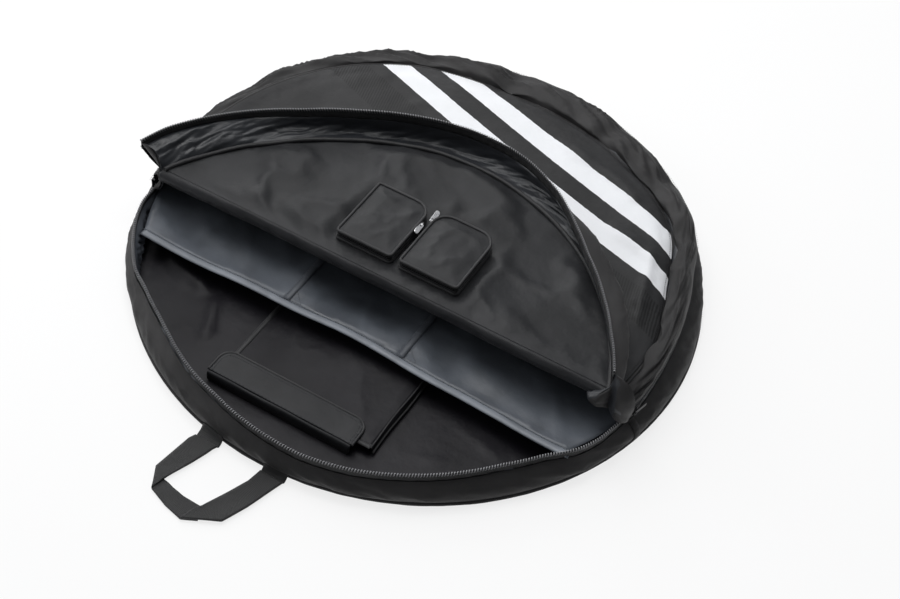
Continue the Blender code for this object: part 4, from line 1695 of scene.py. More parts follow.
def piping_cord(
    name: str, line: Points, radius: float, closed: bool, seed: int, finish: Finish
) -> bpy.types.Object:
    """A cord in a cloth tube, with the puckers that its seam gives it.

    Args:
        name: Piece name.
        line: Middle of the cord.
        radius: Radius over the cloth.
        closed: Whether it closes on itself.
        seed: Pattern of the puckers.
        finish: Cloth of the tube.

    Returns:
        The piece.
    """
    sides, puckers = 10, 0.10
    patch = sweep(line, round_profile(radius, sides), closed)
    points = patch.points.reshape(len(line), sides, 3)
    noise = Creases(seed)
    run = np.arange(len(line))[:, None] * 0.5
    swell = 1 + puckers * noise(run + np.zeros((1, sides)), np.arange(sides)[None, :] * 0.4 + 2)
    points = line[:, None] + (points - line[:, None]) * swell[..., None]
    patch.points = points.reshape(-1, 3)
    obj = mesh_object(name, patch, finish)
    return set_wear_and_highlight(
        obj, 0.4 * np.repeat(0.5 + 0.5 * noise(run[:, 0] * 0.3, run[:, 0] * 0 + 5), sides)
    )


@dataclass
class BackPanel:
    """The panel that the bag lies on: outer cloth, foam, lining and the cord along its seam."""

    radius: float = 0.3650
    under: float = 0.0006
    dents: float = 0.0007
    cloth: float = 0.0011
    lining_radius: float = 0.3602
    spacing: float = 0.0062
    cord_line: tuple[float, float] = (0.3662, 0.0033)
    cord: float = 0.0030
    sewing_line: tuple[float, float] = (0.3688, 0.0084)
    steps: int = 360
    folds: tuple[Fold, ...] = (
        ((-0.315, -0.160, -0.185, -0.192), 0.015, 0.0125),
        ((-0.300, -0.195, -0.190, -0.245), 0.012, -0.0040),
        ((-0.188, -0.180, -0.150, -0.262), 0.011, 0.0100),
        ((-0.290, -0.215, -0.225, -0.232), 0.014, 0.0065),
        ((-0.190, -0.300, -0.115, -0.318), 0.012, 0.0080),
        ((-0.235, -0.262, -0.150, -0.250), 0.011, 0.0060),
        ((0.135, -0.190, 0.255, -0.215), 0.014, 0.0060),
        ((0.120, -0.275, 0.215, -0.240), 0.013, 0.0060),
    )

    def build(self) -> list[bpy.types.Object]:
        """Makes the pieces of the back."""
        return [self.under_side(), self.padding(), *self.seam()]

    def under_side(self) -> bpy.types.Object:
        """The cloth on the floor, almost flat, with shallow dents between its rests.

        Returns:
            The cloth under the bag.
        """
        patch = outline_patch(arc_points(self.radius, 0, 2 * math.pi, 181)[:-1], 0.012, 3)
        noise = Creases(5)
        x, y = patch.points[:, 0], patch.points[:, 1]
        free = smooth((self.radius - np.hypot(x, y)) / 0.03)
        patch.points[:, 2] = self.under + free * np.clip(
            self.dents * noise.layered(x * 11, y * 11), 0, 0.0008
        )
        obj = mesh_object("back_cloth", patch, OUTER)
        set_wear_and_highlight(obj, 0.5 - 0.5 * free)
        return ride_as(thicken(obj, self.cloth), "bag_body", "outer_nylon", "back_panel")

    def padding(self) -> bpy.types.Object:
        """Foam under a lining that has settled into soft folds.

        Returns:
            The padded lining.
        """
        patch = outline_patch(
            arc_points(self.lining_radius, 0, 2 * math.pi, 151)[:-1], self.spacing, 11
        )
        noise, large = Creases(21), Creases(29)
        x, y = patch.points[:, 0], patch.points[:, 1]
        edge = self.lining_radius - np.hypot(x, y)
        swell = large.layered(x * 7 + 3, y * 7 - 1, 2)
        ridge = noise.ridges(x * 10 + 0.6 * swell, y * 7, 2.6)
        rise = with_folds(0.0008 + 0.0026 * np.clip(swell, 0, 1) + 0.0040 * ridge, x, y, self.folds)
        patch.points[:, 2] = BAG.back_lining + smooth(edge / 0.05) * np.maximum(rise, 0.0)
        # darker lining: painted shade inside the bag
        obj = mesh_object("back_padding", patch, SATIN_WITH_PAINTED_SHADE)
        held = np.clip(1 - smooth(edge / 0.012), 0, 1)
        drape = Drape(growth=0.010, frames=22, gravity=0.05, reach=0.006)
        drape.settle(obj, held, level_floor(BAG.back_lining))
        soften(obj, held)
        # a little lighter along the crests of its folds
        set_wear_and_highlight(obj, 0.2 * ridge)
        return ride_as(obj, "bag_body", "lining", "back_lining", "back_foam")

    def seam(self) -> list[bpy.types.Object]:
        """The corded seam round the foot, and the stitches just above it.

        Returns:
            The cord and its stitches.
        """
        turn = whole_ring(self.steps)
        cord = piping_cord("bottom_cord", around(turn, *self.cord_line), self.cord, True, 31, OUTER)
        path, out = around(turn, *self.sewing_line), around(turn, 1.0, -0.2)
        return [
            ride_as(cord, "bag_body", "outer_nylon", "bottom_piping"),
            stitches("bottom_sewing", path, out, "bag_body", "outer_nylon", True),
        ]


@dataclass
class LowerGusset:
    """The wall below the zip, all the way round, with its coated lining."""

    foot_line: tuple[float, float] = (0.3670, 0.0062)
    head_height: float = 0.0352
    lining_foot: float = 0.3604
    lining_height: float = 0.0395
    steps: int = 720
    seam_turns: tuple[float, ...] = (math.radians(75.0), math.radians(-112.0))
    seam_section: tuple[tuple[float, float], ...] = (
        (-0.0052, 0.0), (-0.005, 0.0011), (0.0045, 0.0013), (0.0052, 0.0001),
    )
    loose_degrees: tuple[float, ...] = (-95, -78, -62, -48, -25, 40, 60, 80)
    loose_by: tuple[float, ...] = (1.0, 2.4, 2.8, 1.5, 0.9, 0.9, 1.3, 1.0)

    def build(self) -> list[bpy.types.Object]:
        """Makes the wall, its lining, its upright seams and the lower half of the zip.

        Returns:
            All objects of the lower wall.
        """
        turn = whole_ring(self.steps)
        drift = 0.0012 * Creases(41)(turn * Creases.cells / (2 * math.pi) / 4, turn * 0 + 1)
        wander = zip_wander(turn)
        foot, head = around(turn, *self.foot_line), around(
            turn, wander + 0.0016 + 0.3 * drift, self.head_height
        )
        outer = Wall(
            "gusset_wall", turn, foot, head, swell=0.0078, folds=0.0020, crinkle=0.0012, seed=43,
            rows=15, swell_at=0.42, closed=True, slant=1.5,
        )
        made = [ride_as(outer.build(OUTER), "bag_body", "outer_nylon", "lower_gusset")]
        foot = around(turn, self.lining_foot, BAG.back_lining + 0.0004)
        head = around(turn, wander - 0.0014, self.lining_height)
        loose_by = np.interp(np.degrees(half_round(turn)), self.loose_degrees, self.loose_by)
        inner = Wall(
            "gusset_lining", turn, foot, head, swell=0.004, folds=0.0042, crinkle=0.0034, seed=47,
            rows=15, closed=True, slant=2.5, inward=True, loose_by=loose_by,
        )
        made.append(
            ride_as(inner.build(WALL_LINING), "bag_body", "coated_lining", "lower_gusset_lining")
        )
        made.extend(self.upright_seams(outer))
        line, nodes = around(turn, wander, BAG.lower_coil), ("lower_zip_tape", "lower_zip_coil")
        made.extend(
            ZipHalf(
                "lower", line, around(turn, 1.0, 0.0), upward(line, -1.0), "bag_body", nodes,
                closed=True,
            ).build()
        )
        return made

    def upright_seams(self, wall: Wall) -> list[bpy.types.Object]:
        """Narrow laps where the wall's lengths of cloth are joined.

        Args:
            wall: The wall that the laps follow.

        Returns:
            The laps.
        """
        points, _ = wall.points()
        made = []
        for index, turn in enumerate(self.seam_turns):
            column = int(round((turn % (2 * math.pi)) / (2 * math.pi) * self.steps)) % self.steps
            path, out = points[:, column], around(np.array([turn]), 1.0, 0.0)[0]
            patch = sweep(
                path + out * 0.0004, np.array(self.seam_section), False,
                np.tile(out, (len(path), 1))
            )
            lap = mesh_object(f"gusset_seam_{index + 1}", patch, OUTER)
            made.append(ride_as(lap, "bag_body", "outer_nylon"))
        return made


@dataclass
class CoverHalf:
    """One side of the cover: printed cloth, padded lining, standing wall and its half of the zip.

    It is laid out zipped shut. The front half is then turned over the crease.
    """

    side: Side
    pockets: tuple[tuple[float, float, float, float], ...] = ()
    spacing: float = 0.0056
    coarse: float = 0.014
    cloth_inset: float = 0.0022
    lining_inset: float = 0.0024
    rear_top: float = 0.0830
    rear_most: float = 0.0905
    rear_deepest: float = 0.0036
    rear_foam: float = 0.0792
    rear_lining: float = 0.0766
    flap_top: float = 0.0827
    flap_lining: float = 0.0947
    flap_foam: float = 0.0944
    cord_height: float = 0.0819
    wall_foot: float = 0.0600
    wall_head: float = 0.0806
    lining_foot: float = 0.0585
    lining_head: float = 0.0784
    sewing_height: float = 0.0838
    bound_height: float = 0.0742
    lean: float = 0.0105
    stand_degrees: tuple[float, ...] = (-71, -50, -38, -22, 0, 12, 24, 40, 52, 64, 71)
    stands: tuple[float, ...] = (
        0, 0.003, 0.010, 0.017, 0.018, 0.015, 0.015, 0.019, 0.016, 0.010, 0.004
    )
    loose_degrees: tuple[float, ...] = (-71, -60, -42, -28, -5, 6, 14, 30, 42, 60)
    loose_by: tuple[float, ...] = (1.2, 1.8, 1.2, 0.5, 0.35, 0.9, 1.8, 1.8, 0.9, 0.4)
    folds: tuple[Fold, ...] = (
        ((0.256, 0.150, 0.306, -0.030), 0.010, 0.0085),
        ((0.236, 0.095, 0.298, -0.085), 0.012, -0.0080),
        ((0.212, 0.070, 0.262, -0.100), 0.014, 0.0070),
        ((0.304, -0.025, 0.322, -0.108), 0.008, 0.0095),
        ((0.180, 0.150, 0.296, 0.110), 0.012, 0.0065),
        ((0.060, 0.258, 0.222, 0.205), 0.013, 0.0075),
        ((0.100, 0.215, 0.240, 0.165), 0.014, -0.0045),
        ((0.010, 0.262, 0.130, 0.226), 0.015, 0.0045),
        ((-0.150, 0.180, -0.080, 0.262), 0.018, 0.0055),
        ((-0.215, 0.120, -0.180, 0.215), 0.016, -0.0045),
    )

    @property
    def front(self) -> bool:
        """Whether this is the half that folds back."""
        return self.side is Side.FRONT

    @property
    def body(self) -> str:
        """CAD body that this half moves with."""
        return "cover_flap" if self.front else "bag_body"

    @property
    def lift(self) -> float:
        """How much nearer to the floor the flap's zip lies when shut."""
        return 0.003 if self.front else 0.0

    def laid(self, points: Points) -> Points:
        """Where points of the closed cover lie at rest."""
        return folded(points) if self.front else np.array(points, float)

    def ends(self, half: float) -> tuple[float, float]:
        """First and last turn of this half, for a line whose half turn is given."""
        return (-half, half) if self.front else (half, 2 * math.pi - half)

    def stop_at_crease(self, line: Points) -> Points:
        """Keeps a line on this half's side of the crease."""
        line[:, 1] = (np.minimum if self.front else np.maximum)(line[:, 1], -BAG.crease)
        return line

    def sunk(self, line: Points) -> Points:
        """Lowers a line with the cover that hangs at its place; only the fixed half hangs."""
        line[:, 2] -= 0.0 if self.front else cover_sag(line[:, 0], line[:, 1])
        return line

    def rim(self, steps: int = 381) -> tuple[Points, Points]:
        """Turns and radii of the seam round the cover.

        Args:
            steps: How many points.

        Returns:
            Turns in radians and radii, zipped shut.
        """
        turn = np.linspace(*self.ends(HALF_TURN_SEAM), steps)
        radius = eased_table(turn, FLAP_RIM if self.front else REAR_RIM)
        return turn, np.where(
            np.abs(radius * np.cos(turn) - BAG.crease) < 1e-4, BAG.cover_seam, radius
        )

    def zip_edge(self, steps: int = 381) -> tuple[Points, Points]:
        """Turns and radii of this half's coil.

        Args:
            steps: How many points.

        Returns:
            Turns in radians and radii, zipped shut.
        """
        if not self.front:
            turn = np.linspace(*self.ends(HALF_TURN_ZIP), steps)
            return turn, zip_wander(turn)
        turn = np.radians(np.linspace(FLAP_ZIP[0][0], FLAP_ZIP[-1][0], steps))
        return turn, eased_table(turn, FLAP_ZIP)

    def outline(self, inset: float) -> Points:
        """The panel's outline, zipped shut, with its straight side on the crease."""
        turn, radius = self.rim(161)
        return self.stop_at_crease(around(turn, radius - inset, 0.0)[:, :2])

    def build(self) -> list[bpy.types.Object]:
        """Makes every piece of this half.

        Returns:
            All objects of this half.
        """
        return [
            self.cloth(), self.lining(), self.cord(), *self.walls(), *self.zip_pieces(),
            *self.rim_sewing()
        ]

    def cloth(self) -> bpy.types.Object:
        """The printed outer panel.

        Returns:
            The printed panel.
        """
        outline = self.outline(self.cloth_inset)
        patch = outline_patch(outline, self.spacing, 53 if self.front else 51)
        x, y = patch.points[:, 0].copy(), patch.points[:, 1].copy()
        edge = gap_to_line(patch.points[:, :2], outline)
        free = smooth(edge / 0.03)
        noise = Creases(57 if self.front else 55)
        if self.front:
            patch.points[:, 2] = self.flap_top + free * 0.0008 * noise.layered(x * 9, y * 9, 2)
        else:
            folds = np.maximum(free * self.rear_folds(x, y, noise), -self.rear_deepest)
            patch.points[:, 2] = np.minimum(self.rear_top - cover_sag(x, y) + folds, self.rear_most)
        patch.points = self.laid(patch.points)
        obj = mesh_object(self.side.value + "_cloth", patch, PRINTED)
        if not self.front:
            held = 1 - smooth(edge / 0.014)
            drape = Drape(growth=0.010, frames=24, gravity=0.3, reach=0.006)
            drape.settle(obj, held, lambda a, b: self.rear_foam - cover_sag(a, b))
            soften(obj, held)
        set_wear_and_highlight(obj, 0.5 * (1 - free))
        return ride_as(obj, self.body, "outer_nylon", self.side.value + "_cover_panel")

    def rear_folds(self, x: Points, y: Points, noise: Creases) -> Points:
        """Long folds that run in from the right rim, and shallow waves elsewhere.

        Args:
            x: First flat coordinate of each point.
            y: Second flat coordinate of each point.
            noise: The cloth's own pattern of creases.

        Returns:
            Metres above the flat cloth.
        """
        turn, radius = np.degrees(np.arctan2(y, x)), np.hypot(x, y)
        near_rim = smooth((radius - 0.20) / 0.08) * np.exp(-(((turn - 12) / 42) ** 2))
        sharp = noise.ridges(turn / 14, radius * 5 + 2, 4.0) * 0.004
        waves = 0.0058 * noise.layered(x * 6 + 2, y * 6, 2) + 0.0022 * noise(x * 17 + 5, y * 17)
        rim_pucker = 0.0030 * smooth((radius - 0.26) / 0.06) * noise(turn / 5.5 + 20, radius * 12)
        return with_folds(near_rim * sharp + waves + rim_pucker, x, y, self.folds)

    def lining(self) -> bpy.types.Object:
        """The padded lining; on the flap it faces up at rest and carries the skewer pockets.

        Returns:
            The padded lining.
        """
        shape = self.laid(raised(self.outline(self.lining_inset), 0.0))[:, :2]
        patch = outline_patch(
            shape, self.spacing if self.front else self.coarse, 61 if self.front else 63
        )
        x, y = patch.points[:, 0].copy(), patch.points[:, 1].copy()
        edge = gap_to_line(patch.points[:, :2], shape)
        noise, large = Creases(65), Creases(67)
        if not self.front:
            hang = smooth(edge / 0.03) * (0.0028 + 0.0015 * noise.layered(x * 8, y * 8))
            patch.points[:, 2] = self.rear_lining - cover_sag(x, y) - hang
            obj = mesh_object("rear_lining", patch, INNER)
            return ride_as(obj, self.body, "lining", "rear_cover_lining", "rear_cover_foam")
        free = smooth(edge / 0.028)
        for left, right, near, far in self.pockets:
            dx = np.maximum(np.maximum(left - x, x - right), 0)
            dy = np.maximum(np.maximum(near - y, y - far), 0)
            free = free * smooth((np.hypot(dx, dy) - 0.002) / 0.022)
        slope, across = x * 0.5 + y * 0.86, x * 0.86 - y * 0.5
        swell = large.layered(across * 5.5 + 3, slope * 8 - 1, 2)
        ridge = noise.ridges(across * 6 + 0.5 * swell, slope * 11 + 4, 3.2)
        fan = np.arctan2(x, y + 2 * BAG.crease) * 13
        pucker = np.exp(-edge / 0.022) * smooth(edge / 0.006) * noise(fan, edge * 20)
        relief = free * (0.0018 + 0.0052 * swell + 0.0048 * ridge)
        patch.points[:, 2] = self.flap_lining + relief + 0.0024 * pucker
        obj = mesh_object("flap_lining", patch, INNER)
        held = np.clip(1 - smooth((edge - 0.001) / 0.012), 0, 1)
        held = np.maximum(held, 1 - smooth(free / 0.25))
        drape = Drape(growth=0.011, frames=24, gravity=0.05, reach=0.0055)
        drape.settle(obj, held, level_floor(self.flap_foam))
        soften(obj, held)
        set_wear_and_highlight(obj, 0.3 * np.exp(-edge / 0.01))
        return ride_as(obj, self.body, "lining", "front_cover_lining", "front_cover_foam")

    def cord(self) -> bpy.types.Object:
        """The corded seam round the rim.

        Returns:
            The cord.
        """
        sink, radius = (0.0, 0.0029) if self.front else (0.0012, 0.0023)
        line = self.laid(self.sunk(around(*self.rim(321), self.cord_height)))
        line[:, 2] -= sink
        obj = piping_cord(self.side.value + "_cord", line, radius, False, 71, OUTER)
        return ride_as(obj, self.body, "outer_nylon", self.side.value + "_cover_piping")

    def walls(self) -> list[bpy.types.Object]:
        """The standing wall and its coated lining.

        Returns:
            The wall and its lining.
        """
        turn, radius = self.rim()
        zip_turn, zip_radius = self.zip_edge()
        degrees = np.degrees(turn)
        foot = self.stop_at_crease(
            around(zip_turn, zip_radius + 0.0024, self.wall_foot - self.lift)
        )
        head = self.stop_at_crease(self.sunk(around(turn, radius + 0.0016, self.wall_head)))
        name = self.side.value + "_wall"
        if self.front:
            bulge = np.interp(degrees, self.stand_degrees, self.stands)
            outer = Wall(
                name, turn, foot, head, swell=0.0042, folds=0.0030, crinkle=0.0022, seed=73,
                rows=17, per_turn=30, slant=1.2, bulge=bulge,
            )
            loose_by, raise_by = np.interp(degrees, self.loose_degrees, self.loose_by), 0.22 * bulge
        else:
            bulge = eased_table(turn, REAR_STANDS)
            outer = Wall(
                name, turn, foot, head, swell=0.0, folds=0.0046, crinkle=0.0056, seed=75, rows=23,
                per_turn=21, slant=1.2, bulge=bulge, fullness=0.62,
            )
            uneven = 0.75 + 0.75 * Creases(79).layered(turn * 5.0, turn * 0, 2)
            outer.overhang = self.lean * uneven * np.minimum(
                eased_table(turn, REAR_DROP) / 0.015, 1.0
            )
            loose_by, raise_by = np.ones(len(turn)), 0.0
        foot = self.stop_at_crease(
            around(zip_turn, zip_radius - 0.0014, self.lining_foot - self.lift + raise_by)
        )
        head = self.stop_at_crease(self.sunk(around(turn, radius - 0.0022, self.lining_head)))
        inner = Wall(
            name + "_lining", turn, foot, head, swell=0.0030, folds=0.0046, crinkle=0.0020,
            seed=outer.seed + 4, rows=25, per_turn=36, slant=1.3, inward=True, loose_by=loose_by,
            over=outer,
        )
        made = []
        # the wall's lining takes the darker coated cloth, which paints shade on it
        for wall, finish, slot, node in (
            (outer, OUTER, "outer_nylon", "_cover_gusset"),
            (inner, COATED_WITH_PAINTED_SHADE, "coated_lining", "_gusset_lining"),
        ):
            piece = wall.build(finish)
            write_vertices(piece, self.laid(vertex_array(piece)))
            made.append(ride_as(piece, self.body, slot, self.side.value + node))
        return made

    def zip_pieces(self) -> list[bpy.types.Object]:
        """This half's tape, coil and stitches.

        Returns:
            All objects of this half's zip.
        """
        turn, radius = self.zip_edge(520)
        line = self.stop_at_crease(around(turn, radius, BAG.upper_coil - self.lift))
        tip = around(turn, radius + 1.0, BAG.upper_coil - self.lift)
        line, tip = self.laid(line), self.laid(tip)
        nodes = (self.side.value + "_zip_tape", self.side.value + "_zip_coil")
        away = upward(line, -1.0 if self.front else 1.0)
        return ZipHalf(self.side.value, line, unit(tip - line), away, self.body, nodes).build()

    def rim_sewing(self) -> list[bpy.types.Object]:
        """Stitches beside the corded rim, and on the flap the bound seam inside it.

        Returns:
            The stitches, and the flap's bound seam.
        """
        turn, radius = self.rim(321)
        path = self.laid(self.sunk(around(turn, radius - 0.0052, self.sewing_height)))
        up = upward(path, -1.0 if self.front else 1.0)
        made = [stitches(self.side.value + "_rim_sewing", path, up, self.body, "outer_nylon")]
        if self.front:
            line = self.laid(around(turn, radius - 0.0044, self.bound_height))
            line[:, 2] += 0.0006 * np.sin(np.linspace(0, 60, len(turn)))
            bound = piping_cord("flap_bound_seam", line, 0.0030, False, 77, BINDING)
            made.append(ride_as(bound, self.body, "lining"))
        return made


@dataclass
class Crease:
    """The soft roll along the fold and the tucked corners at its ends."""

    radius: float = 0.0092
    half_length: float = 0.3195
    columns: int = 241
    rows: int = 15
    corner_columns: int = 29
    corner_rows: int = 33
    root: float = 0.3185
    low_edge: float = 0.3362
    roll_thickness: float = 0.0009
    corner_thickness: float = 0.0008
    pleat_places: tuple[float, ...] = (0.0, 0.12, 0.26, 0.40, 0.52, 0.66, 0.80, 0.92, 1.0)
    high_edge: ClassVar[dict[float, float]] = {-1.0: 0.3492, 1.0: 0.3195}
    pleats: ClassVar[dict[float, tuple[tuple[float, ...], tuple[float, ...]]]] = {
        -1.0: (
            (0.3170, 0.3175, 0.3180, 0.3182, 0.3184, 0.3188, 0.3192, 0.3196, 0.3200),
            (0.0100, 0.0085, 0.0060, 0.0040, 0.0030, 0.0024, 0.0020, 0.0016, 0.0012),
        ),
        1.0: (
            (0.2960, 0.3010, 0.3090, 0.3170, 0.3190, 0.3230, 0.3330, 0.3440, 0.3500),
            (0.0130, 0.0205, 0.0215, 0.0120, 0.0050, 0.0075, 0.0160, 0.0130, 0.0030),
        ),
    }

    def build(self) -> list[bpy.types.Object]:
        """Makes the roll and both corners."""
        return [self.roll(), *self.corner("left", -1.0), *self.corner("right", 1.0)]

    def bend(self, obj: bpy.types.Object) -> bpy.types.Object:
        """Bakes a piece's placement into its mesh, for a piece that runs over the crease.

        Args:
            obj: The piece that runs over the crease.

        Returns:
            The same object.
        """
        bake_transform(obj)
        LOG.info("%s bends over the crease", obj.name)
        return obj

    def roll(self) -> bpy.types.Object:
        """Lining and foam rolled round the fold.

        Returns:
            The roll, bent over the crease.
        """
        x = np.linspace(-self.half_length, self.half_length, self.columns)
        turn = np.linspace(-math.pi / 2, math.pi / 2, self.rows)[:, None]
        noise = Creases(81)
        reach = 0.85 + 0.28 * noise.layered(
            x * 9 + 4, x * 0 + 2, 2
        ) + 0.45 * (np.abs(x) / 0.32) ** 3
        dent = 0.20 * noise.ridges(x[None, :] * 19 + turn * 0.5, turn * 0.6 + 7, 3.0)
        y = -BAG.crease - self.radius * (1 - dent * np.cos(turn)) * np.cos(turn) * reach[None, :]
        points = grid(x[None, :], y, BAG.crease_height + self.radius * np.sin(turn))
        obj = mesh_object(
            "crease_roll", grid_patch(points, grid(x[None, :], turn * self.radius)), INNER
        )
        # lighter round the roll's outer curve: partly rubbing along the fold, partly a painted
        # highlight
        set_wear_and_highlight(obj, np.repeat(0.9 * np.cos(turn[:, 0]) ** 2, self.columns))
        return self.bend(thicken(obj, self.roll_thickness, -1))

    def corner(self, label: str, sign: float) -> list[bpy.types.Object]:
        """Outer cloth and lining of the wall where it doubles over at one end of the crease.

        The left end is tucked inside the bag. The right one stands out in two upright pleats.

        Args:
            label: Side in the piece names.
            sign: -1 for the left end and 1 for the right end.

        Returns:
            Both pieces.
        """
        made = []
        share = np.linspace(0, 1, self.corner_columns)[None, :]
        turn = np.linspace(-math.pi / 2, math.pi / 2, self.corner_rows)[:, None]
        rise = (1 + np.sin(turn)) / 2
        edge = self.low_edge * (1 - rise) + self.high_edge[sign] * rise
        straight = self.root + (edge - self.root) * share
        reach = 0.0060 + 0.0300 * share
        middle, ahead = (np.interp(share, self.pleat_places, row) for row in self.pleats[sign])
        # the corner's lining takes the darker coated cloth, which paints shade on it
        layers = (
            ("cloth", OUTER, "outer_nylon", 0.0012, 83),
            ("lining", COATED_WITH_PAINTED_SHADE, "coated_lining", -0.0012, 85)
        )
        for part, finish, slot, outward, seed in layers:
            noise = Creases(seed + (1 if sign > 0 else 0))
            crumple = noise.layered(share * 3.0 + turn * 0.5, turn * 1.2 + 5, 2)
            forward = (ahead + 0.0015 * crumple) * np.cos(turn) ** 0.8
            x = straight + (
                middle - straight
            ) * np.cos(turn) ** 0.7 + outward + 0.0012 * crumple * np.cos(turn)
            y = -BAG.crease - np.maximum(forward, 0.0) + (0.0010 if outward < 0 else 0.0)
            points = grid(sign * x, y, BAG.crease_height + reach * np.sin(turn))
            patch = grid_patch(
                points if sign < 0 else points[:, ::-1], grid(share * 0.04, turn * 0.02)
            )
            obj = thicken(
                mesh_object(f"{label}_corner_{part}", patch, finish), self.corner_thickness
            )
            made.append(self.bend(obj))
        return made


@dataclass
class Divider:
    """The sheet between the two wheels: three panels, bound seams and a hem in front."""

    height: float = 0.0365
    left_seam: float = -0.095
    right_seam: float = 0.070
    wall_radius: float = 0.3525
    wall_gap: float = 0.0034
    hem_width: float = 0.0105
    hem_reach: float = 0.3085
    spacing: float = 0.0075
    lowest: float = 0.0224
    cloth: float = 0.0009
    dip: float = 0.0125
    seam_far: float = 0.335
    stitch_rows: tuple[float, ...] = (-0.0033, 0.0033)
    corner_reach: float = 0.017
    hem_places: tuple[float, ...] = (-0.31, -0.095, -0.02, 0.070, 0.30)
    hem_line_y: tuple[float, ...] = (-0.1700, -0.1665, -0.1650, -0.1665, -0.1760)
    sag_places: tuple[float, ...] = (-0.31, -0.20, -0.095, -0.01, 0.070, 0.19, 0.30)
    sags: tuple[float, ...] = (0, -0.0028, 0.0, 0.0016, 0.0, -0.0034, 0)
    tape_section: tuple[tuple[float, float], ...] = (
        (-0.0045, -0.0004), (0.0045, -0.0004), (0.0043, 0.0004), (0.0, 0.0006), (-0.0043, 0.0004),
    )

    def hem_line(self, x: Points) -> Points:
        """Where the panels meet the hem, as y for each x; the hem bows a little."""
        return np.interp(x, self.hem_places, self.hem_line_y) + 0.0012 * np.sin(x * 37 + 1)

    def hem_height(self, x: Points) -> Points:
        """Height of the hem, which sags between the walls and the seams."""
        return self.height + np.interp(x, self.sag_places, self.sags)

    def build(self) -> list[bpy.types.Object]:
        """Makes the three panels, two bindings and the hem.

        Returns:
            All objects of the divider.
        """
        return [
            self.panel("left", -0.36, self.left_seam, 91),
            self.panel("middle", self.left_seam, self.right_seam, 93),
            self.panel("right", self.right_seam, 0.36, 95),
            *self.binding("left", self.left_seam),
            *self.binding("right", self.right_seam),
            *self.hem(),
        ]

    def outline(self, left: float, right: float) -> Points:
        """A panel between two seams and the round wall.

        Args:
            left: x of the left seam.
            right: x of the right seam.

        Returns:
            Points of the closed outline.
        """
        reach = self.wall_radius
        near = np.linspace(max(left, -reach * 0.885), min(right, reach * 0.868), 24)
        front = np.stack([near, self.hem_line(near) - 0.001], axis=1)
        far_left, far_right = max(left, -reach + 0.0006), min(right, reach - 0.0006)
        start, end = math.atan2(
            front[-1, 1], front[-1, 0]
        ), math.atan2(front[0, 1], front[0, 0]) + 2 * math.pi
        if right < reach:
            start = math.atan2(math.sqrt(reach**2 - far_right**2), far_right)
        if left > -reach:
            end = math.atan2(math.sqrt(reach**2 - far_left**2), far_left)
        arc = arc_points(reach, start, end, 90)
        wall = zip_wander(np.arctan2(arc[:, 0], -arc[:, 1])) - self.wall_gap
        return np.concatenate([front, arc * np.minimum(1.0, wall / reach)[:, None]])

    def panel(self, label: str, left: float, right: float, seed: int) -> bpy.types.Object:
        """One panel; the middle one hangs below its seams behind the hem.

        Args:
            label: Name of the panel.
            left: x of its left seam.
            right: x of its right seam.
            seed: Which pattern of creases it has.

        Returns:
            The panel.
        """
        shape = self.outline(left, right)
        patch = outline_patch(shape, self.spacing, seed)
        x, y = patch.points[:, 0], patch.points[:, 1]
        edge = gap_to_line(patch.points[:, :2], shape)
        near = self.hem_line(x)
        free = smooth(edge / 0.035)
        noise = Creases(seed)
        back = np.clip((y - near) / 0.10, 0, 1)
        height = self.height + (self.hem_height(x) - self.height) * (1 - smooth(back))
        folds = noise.layered(x * 8 + 3, y * 8, 2)
        ridge = noise.ridges((x + y) * 9, (x - y) * 5 + 3, 3.0)
        if label == "middle":
            across = np.clip((x - left) / (right - left), 0, 1)
            dip = self.dip * np.sin(math.pi * across) ** 0.6 * smooth((y - near - 0.020) / 0.050)
            fall = smooth((self.wall_radius - 0.05 - y) / 0.10)
            height = height - dip * fall + free * 0.0012 * folds
        else:
            height = height - 0.0022 * free + free * (0.0042 * folds + 0.0042 * ridge)
        patch.points[:, 2] = height
        obj = mesh_object(f"divider_{label}_cloth", patch, DIVIDING)
        held = 1 - smooth(edge / 0.010)
        drape = Drape(growth=0.009, frames=22, gravity=0.25, reach=0.005)
        drape.settle(obj, held, level_floor(self.lowest))
        soften(obj, held)
        return ride_as(thicken(obj, self.cloth), "bag_body", "coated_lining", f"divider_{label}")

    def binding(self, label: str, x: float) -> list[bpy.types.Object]:
        """A tape over one seam, with two rows of stitches and a sewn corner at the hem.

        Args:
            label: Which side the seam is on.
            x: Where the seam runs.

        Returns:
            The tape, its stitches and the sewn corner.
        """
        y = np.linspace(float(self.hem_line(np.array([x]))[0]) - 0.0005, self.seam_far, 130)
        z = float(self.hem_height(np.array([x]))[0]) + 0.0011 + 0.0003 * np.sin(y * 90)
        line = grid(x + 0.0005 * np.sin(y * 55 + x * 100), y, z)
        tape = mesh_object(
            f"divider_seam_{label}_tape", sweep(line, np.array(self.tape_section), False),
            LIGHT_BINDING
        )
        made = [ride_as(tape, "bag_body", "coated_lining", f"divider_seam_{label}")]
        rows = [
            StitchRow().patch(line + np.array([offset, 0, 0.0004]), upward(line))
            for offset in self.stitch_rows
        ]
        edge, reach = 0.0045, self.corner_reach
        corner = line[0] + np.array([0.0, 0.002, 0.0006]) + np.array(
            [(edge, 0, 0), (edge + reach, 0, -0.0002), (edge, reach, 0)]
        )
        sewn = resample(corner, 0.002, True)
        rows.append(StitchRow().patch(sewn, upward(sewn), True))
        sewing = mesh_object(
            f"divider_seam_{label}_stitches", join_patches(rows), GREY_THREAD, False
        )
        made.append(ride_as(sewing, "bag_body", "coated_lining"))
        return made

